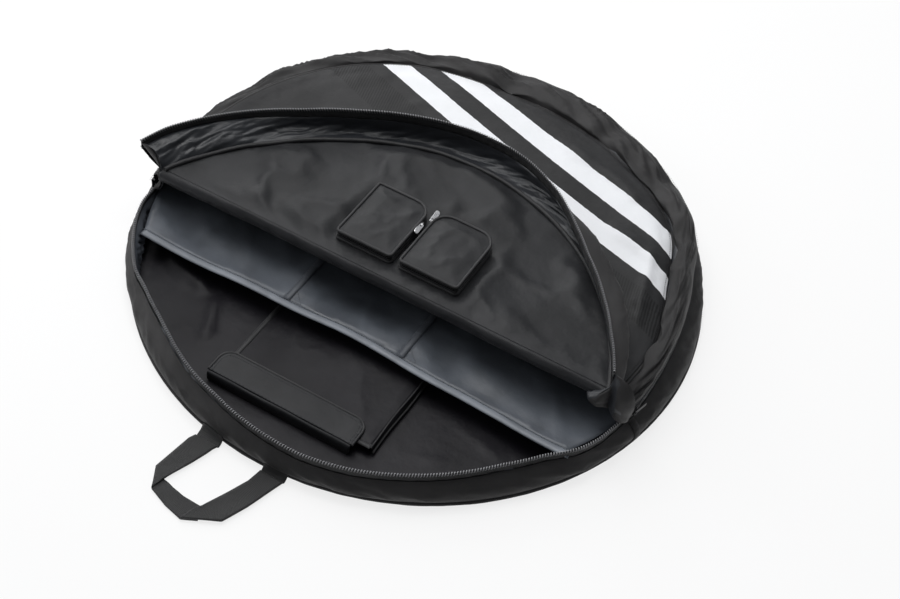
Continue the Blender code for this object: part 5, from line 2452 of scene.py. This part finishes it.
    def hem(self) -> list[bpy.types.Object]:
        """The folded front edge from wall to wall.

        Returns:
            The fold and its stitches.
        """
        x = np.linspace(-self.hem_reach, self.hem_reach, 170)
        half = self.hem_width / 2
        line = grid(x, self.hem_line(x) - half, self.hem_height(x))
        section = np.array(
            [
                [half, -0.0010], [half, 0.0006], [half * 0.5, 0.0015], [-half * 0.5, 0.0016],
                [-half, 0.0009], [-half - 0.0004, 0.0], [-half, -0.0011], [0.0, -0.0014],
            ]
        )
        patch = sweep(line, section[::-1] * np.array([-1.0, 1.0]), False)
        # lighter hem: painted highlight along the front edge
        band = mesh_object("divider_hem_band", patch, HEMMING_WITH_PAINTED_HIGHLIGHT)
        made = [ride_as(band, "bag_body", "coated_lining", "divider_hem")]
        sewing = StitchRow().patch(line + np.array([0, half * 0.72, 0.0016]), upward(line))
        obj = mesh_object("divider_hem_stitches", sewing, GREY_THREAD, False)
        made.append(ride_as(obj, "bag_body", "coated_lining"))
        return made


@dataclass
class CargoPocket:
    """The flat pocket on the back lining, with its pleated side and its bound flap."""

    left: float = -0.108
    right: float = 0.105
    mouth: float = -0.288
    far: float = -0.088
    top: float = 0.0188
    bottom: float = 0.0080
    side_height: float = 0.0128
    cloth: float = 0.0008
    flap_left: float = -0.116
    flap_right: float = 0.087
    hinge: float = -0.300
    flap_far: float = -0.262
    flap_height: float = 0.0213
    flap_cloth: float = 0.0016
    flap_corner: float = 0.016
    sharp_corner: float = 0.0008
    sewing_inset: float = 0.005
    pleats: tuple[Point, ...] = ((0.1052, 0.0182, 0.0011), (0.1090, 0.0118, 0.0013))
    root_line: tuple[tuple[float, float], ...] = (
        (-0.3052, 0.0078), (-0.3050, 0.0140), (-0.3044, 0.0196), (-0.3026, 0.0214),
        (-0.3006, 0.0216),
    )
    binding_section: tuple[tuple[float, float], ...] = (
        (-0.0035, -0.0002), (0.0035, -0.0002), (0.0033, 0.0007), (-0.0033, 0.0007),
    )

    def build(self) -> list[bpy.types.Object]:
        """Makes the pocket's panel, its seam, its pleat and its flap."""
        return [self.panel(), self.mouth_binding(), *self.pleat(), *self.flap(), self.anchor()]

    def rise(self, u: Points) -> Points:
        """How far open the pocket stands, from 0 at its left seam to 1 at its right side."""
        return smooth(u / 0.30) * 0.55 + smooth((u - 0.15) / 0.85) * 0.45

    def panel(self) -> bpy.types.Object:
        """One cloth: sewn down at the left, full height at the right.

        Returns:
            The pocket's cloth.
        """
        u = np.linspace(0, 1, 71)[None, :]
        v = np.linspace(0, 1, 61)[:, None]
        x = self.left - 0.001 + (self.right - self.left + 0.001) * u
        y = self.mouth + (self.far - self.mouth) * v
        end = 1 - 0.75 * smooth((v - 0.90) / 0.10)
        noise = Creases(101)
        loose = smooth(u / 0.1) * smooth((1 - u) / 0.06) * smooth(v / 0.08) * smooth((1 - v) / 0.08)
        folds = noise.layered(x * 9 + 2, y * 9, 2) * 0.0014 + noise.ridges(
            x * 10, y * 7 + 4, 3.0
        ) * 0.0016
        z = 0.0078 + (self.top - 0.0082) * self.rise(u) * end + loose * folds
        points = grid(x, y, z)
        side = points[:, -1:].copy()
        side[..., 2] = self.side_height
        side[..., 0] += 0.0022
        foot = side.copy()
        foot[..., 2] = self.bottom
        foot[..., 0] -= 0.0004
        points = np.concatenate([points, side, foot], axis=1)
        flat = points[..., :2].copy()
        flat[:, -2:, 0] += np.array([0.006, 0.011])
        # darker lining: painted shade inside the bag
        obj = mesh_object("cargo_panel", grid_patch(points, flat), SATIN_WITH_PAINTED_SHADE)
        return ride_as(thicken(obj, self.cloth), "bag_body", "lining", "cargo_pocket")

    def mouth_binding(self) -> bpy.types.Object:
        """A narrow tape along the pocket's opening and down its left seam.

        Returns:
            The tape.
        """
        u = np.linspace(0, 1, 60)
        x = self.left + (self.right - self.left) * u
        mouth = grid(x, self.mouth, self.bottom + (self.top - 0.0082) * self.rise(u))
        side = grid(self.left, np.linspace(self.far, self.mouth, 50), 0.0082)
        line = resample(np.concatenate([side, mouth]), 0.003)
        obj = mesh_object(
            "cargo_binding", sweep(line, np.array(self.binding_section), False), BINDING
        )
        return ride_as(obj, "bag_body", "lining")

    def pleat(self) -> list[bpy.types.Object]:
        """The folded side that lets the pocket open, as two rounded edges one above the other.

        Returns:
            Both edges of the fold.
        """
        y = np.linspace(self.mouth - 0.001, self.far, 60)
        made = []
        for index, (x, z, radius) in enumerate(self.pleats):
            line = grid(x + 0.0007 * np.sin(y * 60 + index), y, z)
            obj = mesh_object(
                f"cargo_pleat_{index + 1}", sweep(line, round_profile(radius, 8), False), BINDING
            )
            made.append(ride_as(obj, "bag_body", "lining"))
        return made

    def flap_edge(self, inset: float, corner: float, height: float, spacing: float) -> Points:
        """The flap's three free sides, inset from its edge, from the right end of its hinge.

        Args:
            inset: Distance in from the edge.
            corner: Radius of both far corners.
            height: Height of the line.
            spacing: Distance between its points.

        Returns:
            Points of the line.
        """
        low, high = (self.flap_left + inset, self.hinge), (
            self.flap_right - inset, self.flap_far - inset
        )
        shape = rounded_box(low, high, (self.sharp_corner, self.sharp_corner, corner, corner))
        start = int(np.argmin(np.hypot(shape[:, 0] - high[0], shape[:, 1] - low[1])))
        return resample(raised(np.roll(shape, -start, axis=0)[: len(shape) - 3], height), spacing)

    def flap(self) -> list[bpy.types.Object]:
        """The flap over the mouth: cloth, corded edge on three sides and a row of stitches.

        Returns:
            Cloth, cord and stitches.
        """
        corners = (self.sharp_corner, self.sharp_corner, self.flap_corner, self.flap_corner)
        shape = rounded_box((self.flap_left, self.hinge), (self.flap_right, self.flap_far), corners)
        patch = outline_patch(shape, 0.0055, 103)
        x, y = patch.points[:, 0], patch.points[:, 1]
        crown = smooth(gap_to_line(patch.points[:, :2], shape) / 0.012)
        relief = crown * (0.0006 + 0.0007 * Creases(105).layered(x * 24, y * 24, 2))
        patch.points[:, 2] = self.flap_height + relief
        cloth = mesh_object("cargo_flap_cloth", patch, INNER)
        set_wear_and_highlight(cloth, 0.4 * (1 - crown))
        made = [
            ride_as(thicken(fine(cloth), self.flap_cloth), "cargo_flap", "lining", "cargo_flap")
        ]
        edge = self.flap_edge(0.0, self.flap_corner, self.flap_height + 0.0001, 0.003)
        cord = piping_cord("cargo_flap_cord", edge, 0.0017, False, 107, BINDING)
        made.append(ride_as(cord, "cargo_flap", "lining"))
        path = self.flap_edge(self.sewing_inset, 0.012, 0.0224, 0.002)
        made.append(stitches("cargo_flap_stitches", path, upward(path), "cargo_flap", "lining"))
        return made

    def anchor(self) -> bpy.types.Object:
        """The strip that sews the flap to the back lining.

        Returns:
            The strip.
        """
        x = np.linspace(self.flap_left + 0.001, self.flap_right - 0.001, 50)
        points = np.array(
            [grid(x, y + 0.0004 * np.sin(x * 80 + z * 400), z) for y, z in self.root_line]
        )
        obj = mesh_object(
            "cargo_flap_root", grid_patch(points, grid(x[None, :], points[:, :1, 2])), INNER
        )
        return ride_as(thicken(fine(obj), 0.0012, -1), "bag_body", "lining", "cargo_flap_anchor")


@dataclass
class SkewerPocket:
    """A small zipped box on the flap's lining.

    Its far corners are round, and its lid carries the upper half of the zip round three sides.
    """

    label: str
    left: float
    right: float
    radii: tuple[float, float, float, float]
    near: float = -0.091
    far: float = 0.010
    foot: float = 0.0946
    split: float = 0.10175
    top: float = 0.1078
    gap: float = 0.0009
    cloth_inset: float = 0.0006
    side_spacing: float = 0.0018
    side_cloth: float = 0.0010
    lid_cloth: float = 0.0009
    coil_offset: float = 0.00045
    coil_pitch: float = 0.0012
    coil_out: float = 0.0006
    coil_up: float = 0.00035
    wire: float = 0.0002

    def build(self) -> list[bpy.types.Object]:
        """Makes wall, lid, cords and zip.

        Returns:
            All objects of the pocket.
        """
        lid_body = f"{self.label}_pocket_lid"
        return [
            self.skirt(
                "side", self.foot, self.split - self.gap, "cover_flap", f"{self.label}_pocket_wall"
            ),
            self.skirt("lid_side", self.split + self.gap, self.top - 0.0002, lid_body),
            self.lid(lid_body),
            self.cord("lid_cord", self.top, 0.0020, lid_body),
            self.cord("foot_cord", self.foot + 0.0012, 0.0025, "cover_flap"),
            *self.zip_rows(lid_body),
        ]

    def line(self, inset: float, height: float, spacing: float) -> Points:
        """The box's outline at a height.

        Args:
            inset: Distance inside the box's outline.
            height: Metres above the lining.
            spacing: Distance between its points.

        Returns:
            Points of the closed line.
        """
        radii = tuple(max(0.001, radius - inset) for radius in self.radii)
        shape = rounded_box(
            (self.left + inset, self.near + inset), (self.right - inset, self.far - inset), radii
        )
        return raised(resample(shape, spacing, True), height)

    def skirt(self, part: str, low: float, high: float, body: str, *nodes: str) -> bpy.types.Object:
        """A band of the box's side.

        Args:
            part: Last part of the piece's name.
            low: Height of its foot.
            high: Height of its head.
            body: CAD body that it moves with.
            nodes: CAD nodes that it replaces.

        Returns:
            The piece.
        """
        rows = []
        line = self.line(self.cloth_inset, 0.0, self.side_spacing)
        outward = unit(line[:, :2] - line.mean(0)[:2])
        noise = Creases(111 + len(self.label) + len(part))
        turn = np.linspace(0, Creases.cells, len(line), endpoint=False)
        shares = np.linspace(0, 1, 7)
        for share in shares:
            row = line.copy()
            row[:, 2] = low + (high - low) * share
            swell = math.sin(math.pi * share) * (
                0.0005 + 0.0006 * noise(turn, turn * 0 + 3 + share)
            )
            row[:, :2] += outward * swell[:, None]
            rows.append(row)
        along = np.concatenate([[0.0], np.cumsum(np.full(len(line), self.side_spacing))])
        flat = grid(along[None, :], np.linspace(low, high, len(shares))[:, None])
        obj = mesh_object(
            f"{self.label}_pocket_{part}", grid_patch(np.array(rows), flat, True), INNER
        )
        return ride_as(thicken(obj, self.side_cloth), body, "lining", *nodes)

    def lid(self, body: str) -> bpy.types.Object:
        """The lid's cloth, slightly crowned and creased.

        Args:
            body: The body that the lid rides on.

        Returns:
            The lid.
        """
        shape = self.line(self.cloth_inset, 0.0, 0.004)[:, :2]
        patch = outline_patch(shape, 0.0042, 121 + len(self.label))
        x, y = patch.points[:, 0], patch.points[:, 1]
        edge = gap_to_line(patch.points[:, :2], shape)
        noise = Creases(123 + len(self.label))
        folds = noise.layered(x * 26, y * 26 + 3, 2)
        ridge = noise.ridges((x - y) * 24, (x + y) * 15, 3.5)
        patch.points[:, 2] = self.top + smooth(edge / 0.022) * (
            0.0020 + 0.0014 * folds + 0.0016 * ridge
        )
        obj = mesh_object(f"{self.label}_lid_cloth", patch, INNER)
        set_wear_and_highlight(obj, 0.5 * (1 - smooth(edge / 0.004)))
        return ride_as(
            thicken(fine(obj), self.lid_cloth, -1), body, "lining", f"{self.label}_pocket_lid"
        )

    def cord(self, part: str, height: float, radius: float, body: str) -> bpy.types.Object:
        """A bound edge all round.

        Args:
            part: Which edge.
            height: Metres above the lining.
            radius: Radius of the cord.
            body: The body that the cord rides on.

        Returns:
            The cord.
        """
        obj = piping_cord(
            f"{self.label}_pocket_{part}", self.line(0.0004, height, 0.0022), radius, True, 131,
            BINDING
        )
        return ride_as(obj, body, "lining")

    def zip_rows(self, lid_body: str) -> list[bpy.types.Object]:
        """Both small coils, on the sides that open.

        Args:
            lid_body: The body that the lid rides on.

        Returns:
            Both coils.
        """
        made = []
        ring = self.line(-0.0002, self.split, 0.0012)
        start = int(np.argmin(np.hypot(ring[:, 0] - self.right, ring[:, 1] - self.near - 0.004)))
        ring = np.roll(ring, -start, axis=0)
        span = int(np.argmin(np.hypot(ring[:, 0] - self.left, ring[:, 1] - self.near - 0.004)))
        for part, offset, body in (
            ("upper", self.coil_offset, lid_body), ("lower", -self.coil_offset, "cover_flap")
        ):
            line = ring[: span + 1] + np.array([0, 0, offset])
            out = line - ring.mean(0)
            out[:, 2] = 0
            length = run_lengths(line)
            places = np.linspace(0, length[-1], int(length[-1] / self.coil_pitch) * 6)
            at = spread(np.concatenate([line, unit(out)], axis=1), length, places)
            turn = np.arange(len(places)) * math.pi / 3
            centre = at[:, :3] + at[:, 3:] * (self.coil_out * np.cos(turn))[:, None]
            centre[:, 2] += self.coil_up * np.sin(turn)
            coil = sweep(centre, round_profile(self.wire, 4), False)
            made.append(
                ride_as(
                    mesh_object(f"{self.label}_pocket_{part}_coil", coil, COIL_WITH_PAINTED_GLINT), body, "zip_coil"
                )
            )
        return made


@dataclass
class CarryHandle:
    """A flat strap with folded corners, sewn into the seam at both ends.

    Each run lies between two edges, given corner by corner, at its own height.
    """

    thickness: float = 0.0020
    width: float = 0.032
    rows: int = 11
    steps: int = 60
    end_places: tuple[tuple[str, float], ...] = (("left", -0.0625), ("right", 0.0285))
    end_half: float = 0.0158
    end_run: float = 0.015
    end_y: tuple[float, ...] = (-0.3764, -0.3742, -0.3718, -0.3702, -0.3694)
    end_z: tuple[float, ...] = (0.0016, 0.0022, 0.0042, 0.0078, 0.0118)
    end_bow: tuple[float, ...] = (0.0, 0.2, 0.7, 1.0, 1.0)
    runs: ClassVar[
        dict[str, tuple[tuple[tuple[float, float], ...], tuple[tuple[float, float], ...], float]]
    ] = {
        "left_leg": (
            (
                (-0.0785, -0.3768), (-0.0822, -0.3850), (-0.0895, -0.4374), (-0.0795, -0.4557),
                (-0.0758, -0.4636),
            ),
            (
                (-0.0470, -0.3768), (-0.0495, -0.3820), (-0.0520, -0.3914), (-0.0594, -0.4133),
                (-0.0715, -0.4455),
            ),
            0.0040,
        ),
        "cross_run": (
            (
                (-0.0840, -0.4475), (-0.0758, -0.4636), (-0.0492, -0.4735), (-0.0244, -0.4790),
                (-0.0070, -0.4700),
            ),
            (
                (-0.0715, -0.4455), (-0.0640, -0.4470), (-0.0558, -0.4495), (-0.0397, -0.4524),
                (-0.0139, -0.4529),
            ),
            0.0020,
        ),
        "right_leg": (
            (
                (0.0441, -0.3768), (0.0291, -0.4270), (0.0167, -0.4574), (-0.0066, -0.4697),
                (-0.0244, -0.4790),
            ),
            (
                (0.0126, -0.3768), (0.0097, -0.3965), (0.0005, -0.4190), (-0.0139, -0.4529),
                (-0.0190, -0.4580),
            ),
            0.0042,
        ),
    }

    def build(self) -> list[bpy.types.Object]:
        """Makes the strap's three runs, its folded corners and its two sewn ends.

        Returns:
            All objects of the handle.
        """
        made = [self.run(name) for name in self.runs]
        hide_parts("handle_strap")
        made.extend(self.sewn_end(label, x) for label, x in self.end_places)
        return made

    def run(self, name: str) -> bpy.types.Object:
        """One run of the strap between its two edges.

        Args:
            name: Which run.

        Returns:
            The run.
        """
        outer, inner, height = self.runs[name]
        a, b = self.curve(outer), self.curve(inner)
        length = run_lengths((a + b) / 2)
        share = np.linspace(0, 1, self.rows)[:, None, None]
        edges = a[None] * (1 - share) + b[None] * share
        cup = 0.0005 * (np.abs(share[..., 0] - 0.5) * 2) ** 2
        wave = 0.0005 * Creases(141 + len(name))(length[None, :] * 40, share[..., 0] * 0.8 + 2)
        points = grid(edges[..., 0], edges[..., 1], height + cup + wave)
        if np.cross(a[1] - a[0], b[0] - a[0]) < 0:
            points = points[::-1]
        flat = grid(length[None, :], share[..., 0] * self.width)
        obj = mesh_object(f"handle_{name}", grid_patch(points, flat), WEBBING)
        across = np.repeat(np.abs(np.linspace(-1, 1, self.rows)), points.shape[1])
        set_wear_and_highlight(obj, 0.8 * np.clip((across - 0.8) / 0.2, 0, 1))
        return ride_as(thicken(obj, self.thickness), "handle", "webbing")

    def curve(self, corners: Sequence[Sequence[float]]) -> Points:
        """A line through corners, with a fixed number of points.

        Args:
            corners: Points that the line rounds off.

        Returns:
            The line's points.
        """
        points = np.array(corners, float)
        length = run_lengths(points)
        return spread(points, length, np.linspace(0, length[-1], self.steps))

    def sewn_end(self, label: str, x: float) -> bpy.types.Object:
        """Where the strap goes up into the seam, with its box of stitches.

        Args:
            label: Which side the end is on.
            x: Where it goes into the seam.

        Returns:
            The end and its stitches.
        """
        across = np.linspace(-self.end_half, self.end_half, 9)[None, :]
        points = grid(x + across, np.array(self.end_y)[:, None], np.array(self.end_z)[:, None])
        rim = BAG.bulge - 0.0012
        bow = rim - np.sqrt(rim**2 - points[..., 0] ** 2)
        points[..., 1] += bow * np.array(self.end_bow)[:, None]
        flat = grid(np.linspace(0, self.end_run, len(self.end_y))[:, None], across)
        obj = mesh_object(f"handle_{label}_end", grid_patch(points, flat), WEBBING)
        thicken(fine(obj), self.thickness * 0.9)
        return ride_as(obj, "bag_body", "webbing", f"handle_anchor_{label}")


@dataclass
class ZipHardware:
    """Sliders and pulls of the main zip and of the skewer pockets, dressed in metal."""

    bevel: float = 0.00025
    pull_length: float = 0.0200
    pull_width: float = 0.0062
    pull_thickness: float = 0.0014
    pull_foot: float = 0.0012
    eye_at: float = 0.0042
    eye_size: tuple[float, float] = (0.0013, 0.0018)
    link_at: float = 0.0016
    link_size: tuple[float, float] = (0.0030, 0.0016)
    link_wire: float = 0.00055
    dressed: ClassVar[dict[str, Finish]] = {
        "main_slider": PAINTED, "main_pull": PAINTED, "pocket_slider": BRIGHT
    }

    def build(self) -> list[bpy.types.Object]:
        """Gives each CAD slider and main pull its metal, and makes both pocket pulls.

        Returns:
            All sliders and pulls.
        """
        made = [
            self.dress(f"{side}_{part}", self.dressed[part]) for side in ("left", "right")
            for part in self.dressed
        ]
        made.extend(
            self.pocket_pull(
                "left", (0.0076, -0.0200, 0.1062), (0.0090, -0.0390, 0.1078), math.radians(34)
            )
        )
        made.extend(
            self.pocket_pull(
                "right", (0.0146, -0.0105, 0.1056), (0.0140, 0.0080, 0.1072), math.radians(28)
            )
        )
        return made

    def dress(self, node: str, finish: Finish) -> bpy.types.Object:
        """Gives a CAD piece its metal and breaks its edges.

        Args:
            node: The CAD piece's node.
            finish: What it is made of.

        Returns:
            The dressed piece.
        """
        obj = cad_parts[node]
        obj.data.materials.clear()
        obj.data.materials.append(finish.material())
        edges = obj.modifiers.new("broken_edges", "BEVEL")
        edges.width = self.bevel
        edges.segments = 2
        edges.limit_method = "ANGLE"
        edges.angle_limit = math.radians(35)
        LOG.info("%s is dressed", obj.name)
        return obj

    def pocket_pull(
        self, side: str, start: Point, end: Point, tilt: float
    ) -> list[bpy.types.Object]:
        """A bright plate with an eye, and the link that holds it to its slider.

        Args:
            side: Side in the piece names.
            start: Place of the link.
            end: Far end of the plate.
            tilt: How far the plate leans towards the right, in radians.

        Returns:
            Plate and link.
        """
        along = unit(np.subtract(end, start))
        across = np.array([math.cos(tilt), 0.0, -math.sin(tilt)])
        across = unit(across - along * float(across @ along))
        normal = np.cross(across, along)
        normal *= math.copysign(1.0, normal[2])
        half, deep = self.pull_width / 2, self.pull_thickness / 2
        radii = (self.pull_foot, self.pull_foot, half - 0.0002, half - 0.0002)
        outer = resample(rounded_box((-half, 0.0), (half, self.pull_length), radii), 0.0006, True)
        turn = np.arctan2(outer[:, 1] - self.eye_at, outer[:, 0])
        eye = np.stack(
            [self.eye_size[0] * np.cos(turn), self.eye_at + self.eye_size[1] * np.sin(turn)], axis=1
        )
        inset = outer + (np.array([0.0, self.pull_length / 2]) - outer) * 0.06
        rings = (
            (outer, 0.6 * deep), (inset, deep), (eye, deep), (eye, -deep), (inset, -deep),
            (outer, -0.6 * deep),
            (outer, 0.6 * deep),
        )
        points = np.array(
            [
                np.array(start) + ring[:, :1] * across + ring[:, 1:] * along + height * normal
                for ring, height in rings
            ]
        )
        flat = np.concatenate([points[..., :2], points[:, :1, :2]], axis=1)
        plate = mesh_object(f"{side}_pull_plate", grid_patch(points, flat, True), BRIGHT, False)
        loop = whole_ring(28)[:, None]
        long, high = self.link_size
        ring = np.array(start) + along * (
            self.link_at + long * np.cos(loop)
        ) + normal * (high * np.sin(loop))
        link = mesh_object(
            f"{side}_pull_link", sweep(ring, round_profile(self.link_wire, 6), True), BRIGHT
        )
        body = f"{side}_pocket_pull"
        return [ride_as(plate, body, "pull_zinc", body), ride_as(link, body, "pull_zinc")]


@dataclass
class Studio:
    """Plain floor, soft light and the photograph's viewpoint."""

    azimuth: float = math.radians(24.8212)
    elevation: float = math.radians(48.0115)
    roll: float = math.radians(7.2205)
    distance: float = 1.998
    sideways: float = 0.0398
    lift: float = -0.0389
    focal_pixels: float = 1537.46
    width_pixels: float = 900.0
    sensor: float = 36.0
    dim: float = 0.20
    bright: float = 0.55
    side: float = 0.35

    def build(self) -> None:
        """Sets up floor, world, lamps, camera and colour management."""
        bpy.context.scene.view_settings.view_transform = "Standard"
        self.floor()
        self.world()
        self.lamps()
        self.camera()

    def floor(self) -> None:
        """A wide pale floor just under the bag."""
        corners = np.array([[-20, -20, 0], [20, -20, 0], [20, 20, 0], [-20, 20, 0]], float)
        patch = Patch(corners + np.array([0, 0, -0.0003]), [(0, 1, 2, 3)], corners[:, :2])
        mesh_object("studio_floor", patch, FLOOR)

    def world(self) -> None:
        """Soft light that is strongest from behind and from the left."""
        world = bpy.data.worlds.new("studio_light")
        bpy.context.scene.world = world
        world.use_nodes = True
        graph = Graph("studio_light", world.node_tree)
        toward = graph.node("ShaderNodeTexCoord", {}, {}, "Generated")
        x, y, z = graph.split(toward)
        behind = (y * 0.72 + z * 0.62 - x * 0.30).ramp(0.10, 1.0, self.dim, self.bright)
        side = (z * 0.25 - x * 0.95).ramp(0.35, 1.0, 0.0, self.side)
        lit = graph.node(
            "ShaderNodeBackground", {}, {"Color": (0.95, 0.97, 1.0), "Strength": behind + side}
        )
        graph.node("ShaderNodeOutputWorld", {}, {"Surface": lit})

    def lamp(self, name: str, where: Point, size: float, power: float) -> None:
        """One square soft lamp aimed at the middle of the bag.

        Args:
            name: Name of the lamp.
            where: Its place.
            size: Side of its square.
            power: Watts.
        """
        data = bpy.data.lights.new(name, "AREA")
        data.energy = power
        data.size = size
        obj = bpy.data.objects.new(name, data)
        obj.location = where
        aim = Vector((0.0, 0.0, 0.05)) - Vector(where)
        obj.rotation_euler = aim.to_track_quat("-Z", "Y").to_euler()
        bpy.context.scene.collection.objects.link(obj)

    def lamps(self) -> None:
        """A large box above and behind, and a weaker one at the left."""
        self.lamp("top_box", (-0.5, 0.3, 2.1), 1.5, 32.0)
        self.lamp("back_box", (-1.5, 1.6, 1.3), 1.4, 18.0)
        self.lamp("left_box", (-2.0, -0.3, 0.9), 1.0, 12.0)

    def camera(self) -> None:
        """The camera, turned about its own axis as the photograph was."""
        az, el = self.azimuth, self.elevation
        back = Vector((math.sin(az) * math.cos(el), -math.cos(az) * math.cos(el), math.sin(el)))
        level = Vector((math.cos(az), math.sin(az), 0.0))
        upright = back.cross(level)
        right = level * math.cos(self.roll) + upright * math.sin(self.roll)
        up = upright * math.cos(self.roll) - level * math.sin(self.roll)
        data = bpy.data.cameras.new("viewpoint")
        data.sensor_width = self.sensor
        data.lens = self.focal_pixels * self.sensor / self.width_pixels
        data.clip_start = 0.05
        obj = bpy.data.objects.new("viewpoint", data)
        turn = Matrix((right, up, back)).transposed().to_4x4()
        place = back * self.distance + right * self.sideways + up * self.lift
        obj.matrix_world = Matrix.Translation(place) @ turn
        bpy.context.scene.collection.objects.link(obj)
        bpy.context.scene.camera = obj


FLOOR = PaleFloor("pale_floor")


class Held(Enum):
    """How a sheet of cloth is held."""

    HUNG = "hung"
    GATHERED = "gathered"
    LAID = "laid"
    FOLDED = "folded"
    STRETCHED = "stretched"


@dataclass(frozen=True)
class SoftGoods:
    """Each sheet with how it is held and the pieces that hold it, and each padded piece with a
    number.
    """

    sheets: tuple[tuple[str, Held, tuple[str, ...]], ...] = (
        ("back_cloth", Held.LAID, ("bottom_cord",)),
        ("gusset_wall", Held.GATHERED, ("bottom_cord", "lower_zip_band")),
        ("gusset_lining", Held.GATHERED, ("back_padding", "lower_zip_band")),
        ("rear_cloth", Held.LAID, ("rear_lining",)),
        ("front_cloth", Held.LAID, ("rear_cloth",)),
        ("rear_wall", Held.GATHERED, ("rear_cord", "rear_zip_band")),
        ("rear_wall_lining", Held.GATHERED, ("rear_cord", "rear_zip_band")),
        ("front_wall", Held.GATHERED, ("front_cord", "front_zip_band")),
        ("front_wall_lining", Held.GATHERED, ("front_cord", "front_zip_band")),
        ("left_corner_cloth", Held.FOLDED, ("crease_roll",)),
        ("left_corner_lining", Held.FOLDED, ("crease_roll",)),
        ("right_corner_cloth", Held.FOLDED, ("crease_roll",)),
        ("right_corner_lining", Held.FOLDED, ("crease_roll",)),
        ("divider_left_cloth", Held.HUNG, ("gusset_lining",)),
        ("divider_middle_cloth", Held.HUNG, ("gusset_lining",)),
        ("divider_right_cloth", Held.HUNG, ("gusset_lining",)),
        ("cargo_panel", Held.LAID, ("back_padding",)),
        ("cargo_flap_cloth", Held.LAID, ("cargo_panel",)),
        ("cargo_flap_root", Held.FOLDED, ("back_padding",)),
        ("left_lid_cloth", Held.LAID, ("left_pocket_lid_side",)),
        ("right_lid_cloth", Held.LAID, ("right_pocket_lid_side",)),
        ("lower_zip_band", Held.STRETCHED, ("gusset_wall",)),
        ("rear_zip_band", Held.STRETCHED, ("rear_wall",)),
        ("front_zip_band", Held.STRETCHED, ("front_wall",)),
        ("handle_left_leg", Held.FOLDED, ("handle_left_end",)),
        ("handle_cross_run", Held.FOLDED, ("handle_left_leg", "handle_right_leg")),
        ("handle_right_leg", Held.FOLDED, ("handle_right_end",)),
        ("handle_left_end", Held.FOLDED, ("gusset_wall",)),
        ("handle_right_end", Held.FOLDED, ("gusset_wall",)),
    )
    pads: tuple[tuple[str, float], ...] = (
        ("back_padding", 0.3), ("rear_lining", 0.3), ("flap_lining", 0.35), ("crease_roll", 0.5),
    )


def main() -> None:
    """Builds every sub-assembly of the bag, then the studio."""
    logging.basicConfig(level=logging.INFO, format="%(name)s: %(message)s")
    pockets = (
        SkewerPocket("left", left=-0.073, right=0.005, radii=(0.004, 0.004, 0.022, 0.004)),
        SkewerPocket("right", left=0.017, right=0.098, radii=(0.004, 0.004, 0.022, 0.022)),
    )
    footprints = tuple((p.left, p.right, p.near, p.far) for p in pockets)
    assemblies = (
        BackPanel(),
        LowerGusset(),
        CoverHalf(Side.REAR),
        CoverHalf(Side.FRONT, pockets=footprints),
        Crease(),
        Divider(),
        CargoPocket(),
        *pockets,
        CarryHandle(),
        ZipHardware(),
    )
    for assembly in assemblies:
        pieces = assembly.build()
        LOG.info("%s: %d pieces", type(assembly).__name__, len(pieces))
    Studio().build()


if __name__ == "__main__":
    main()
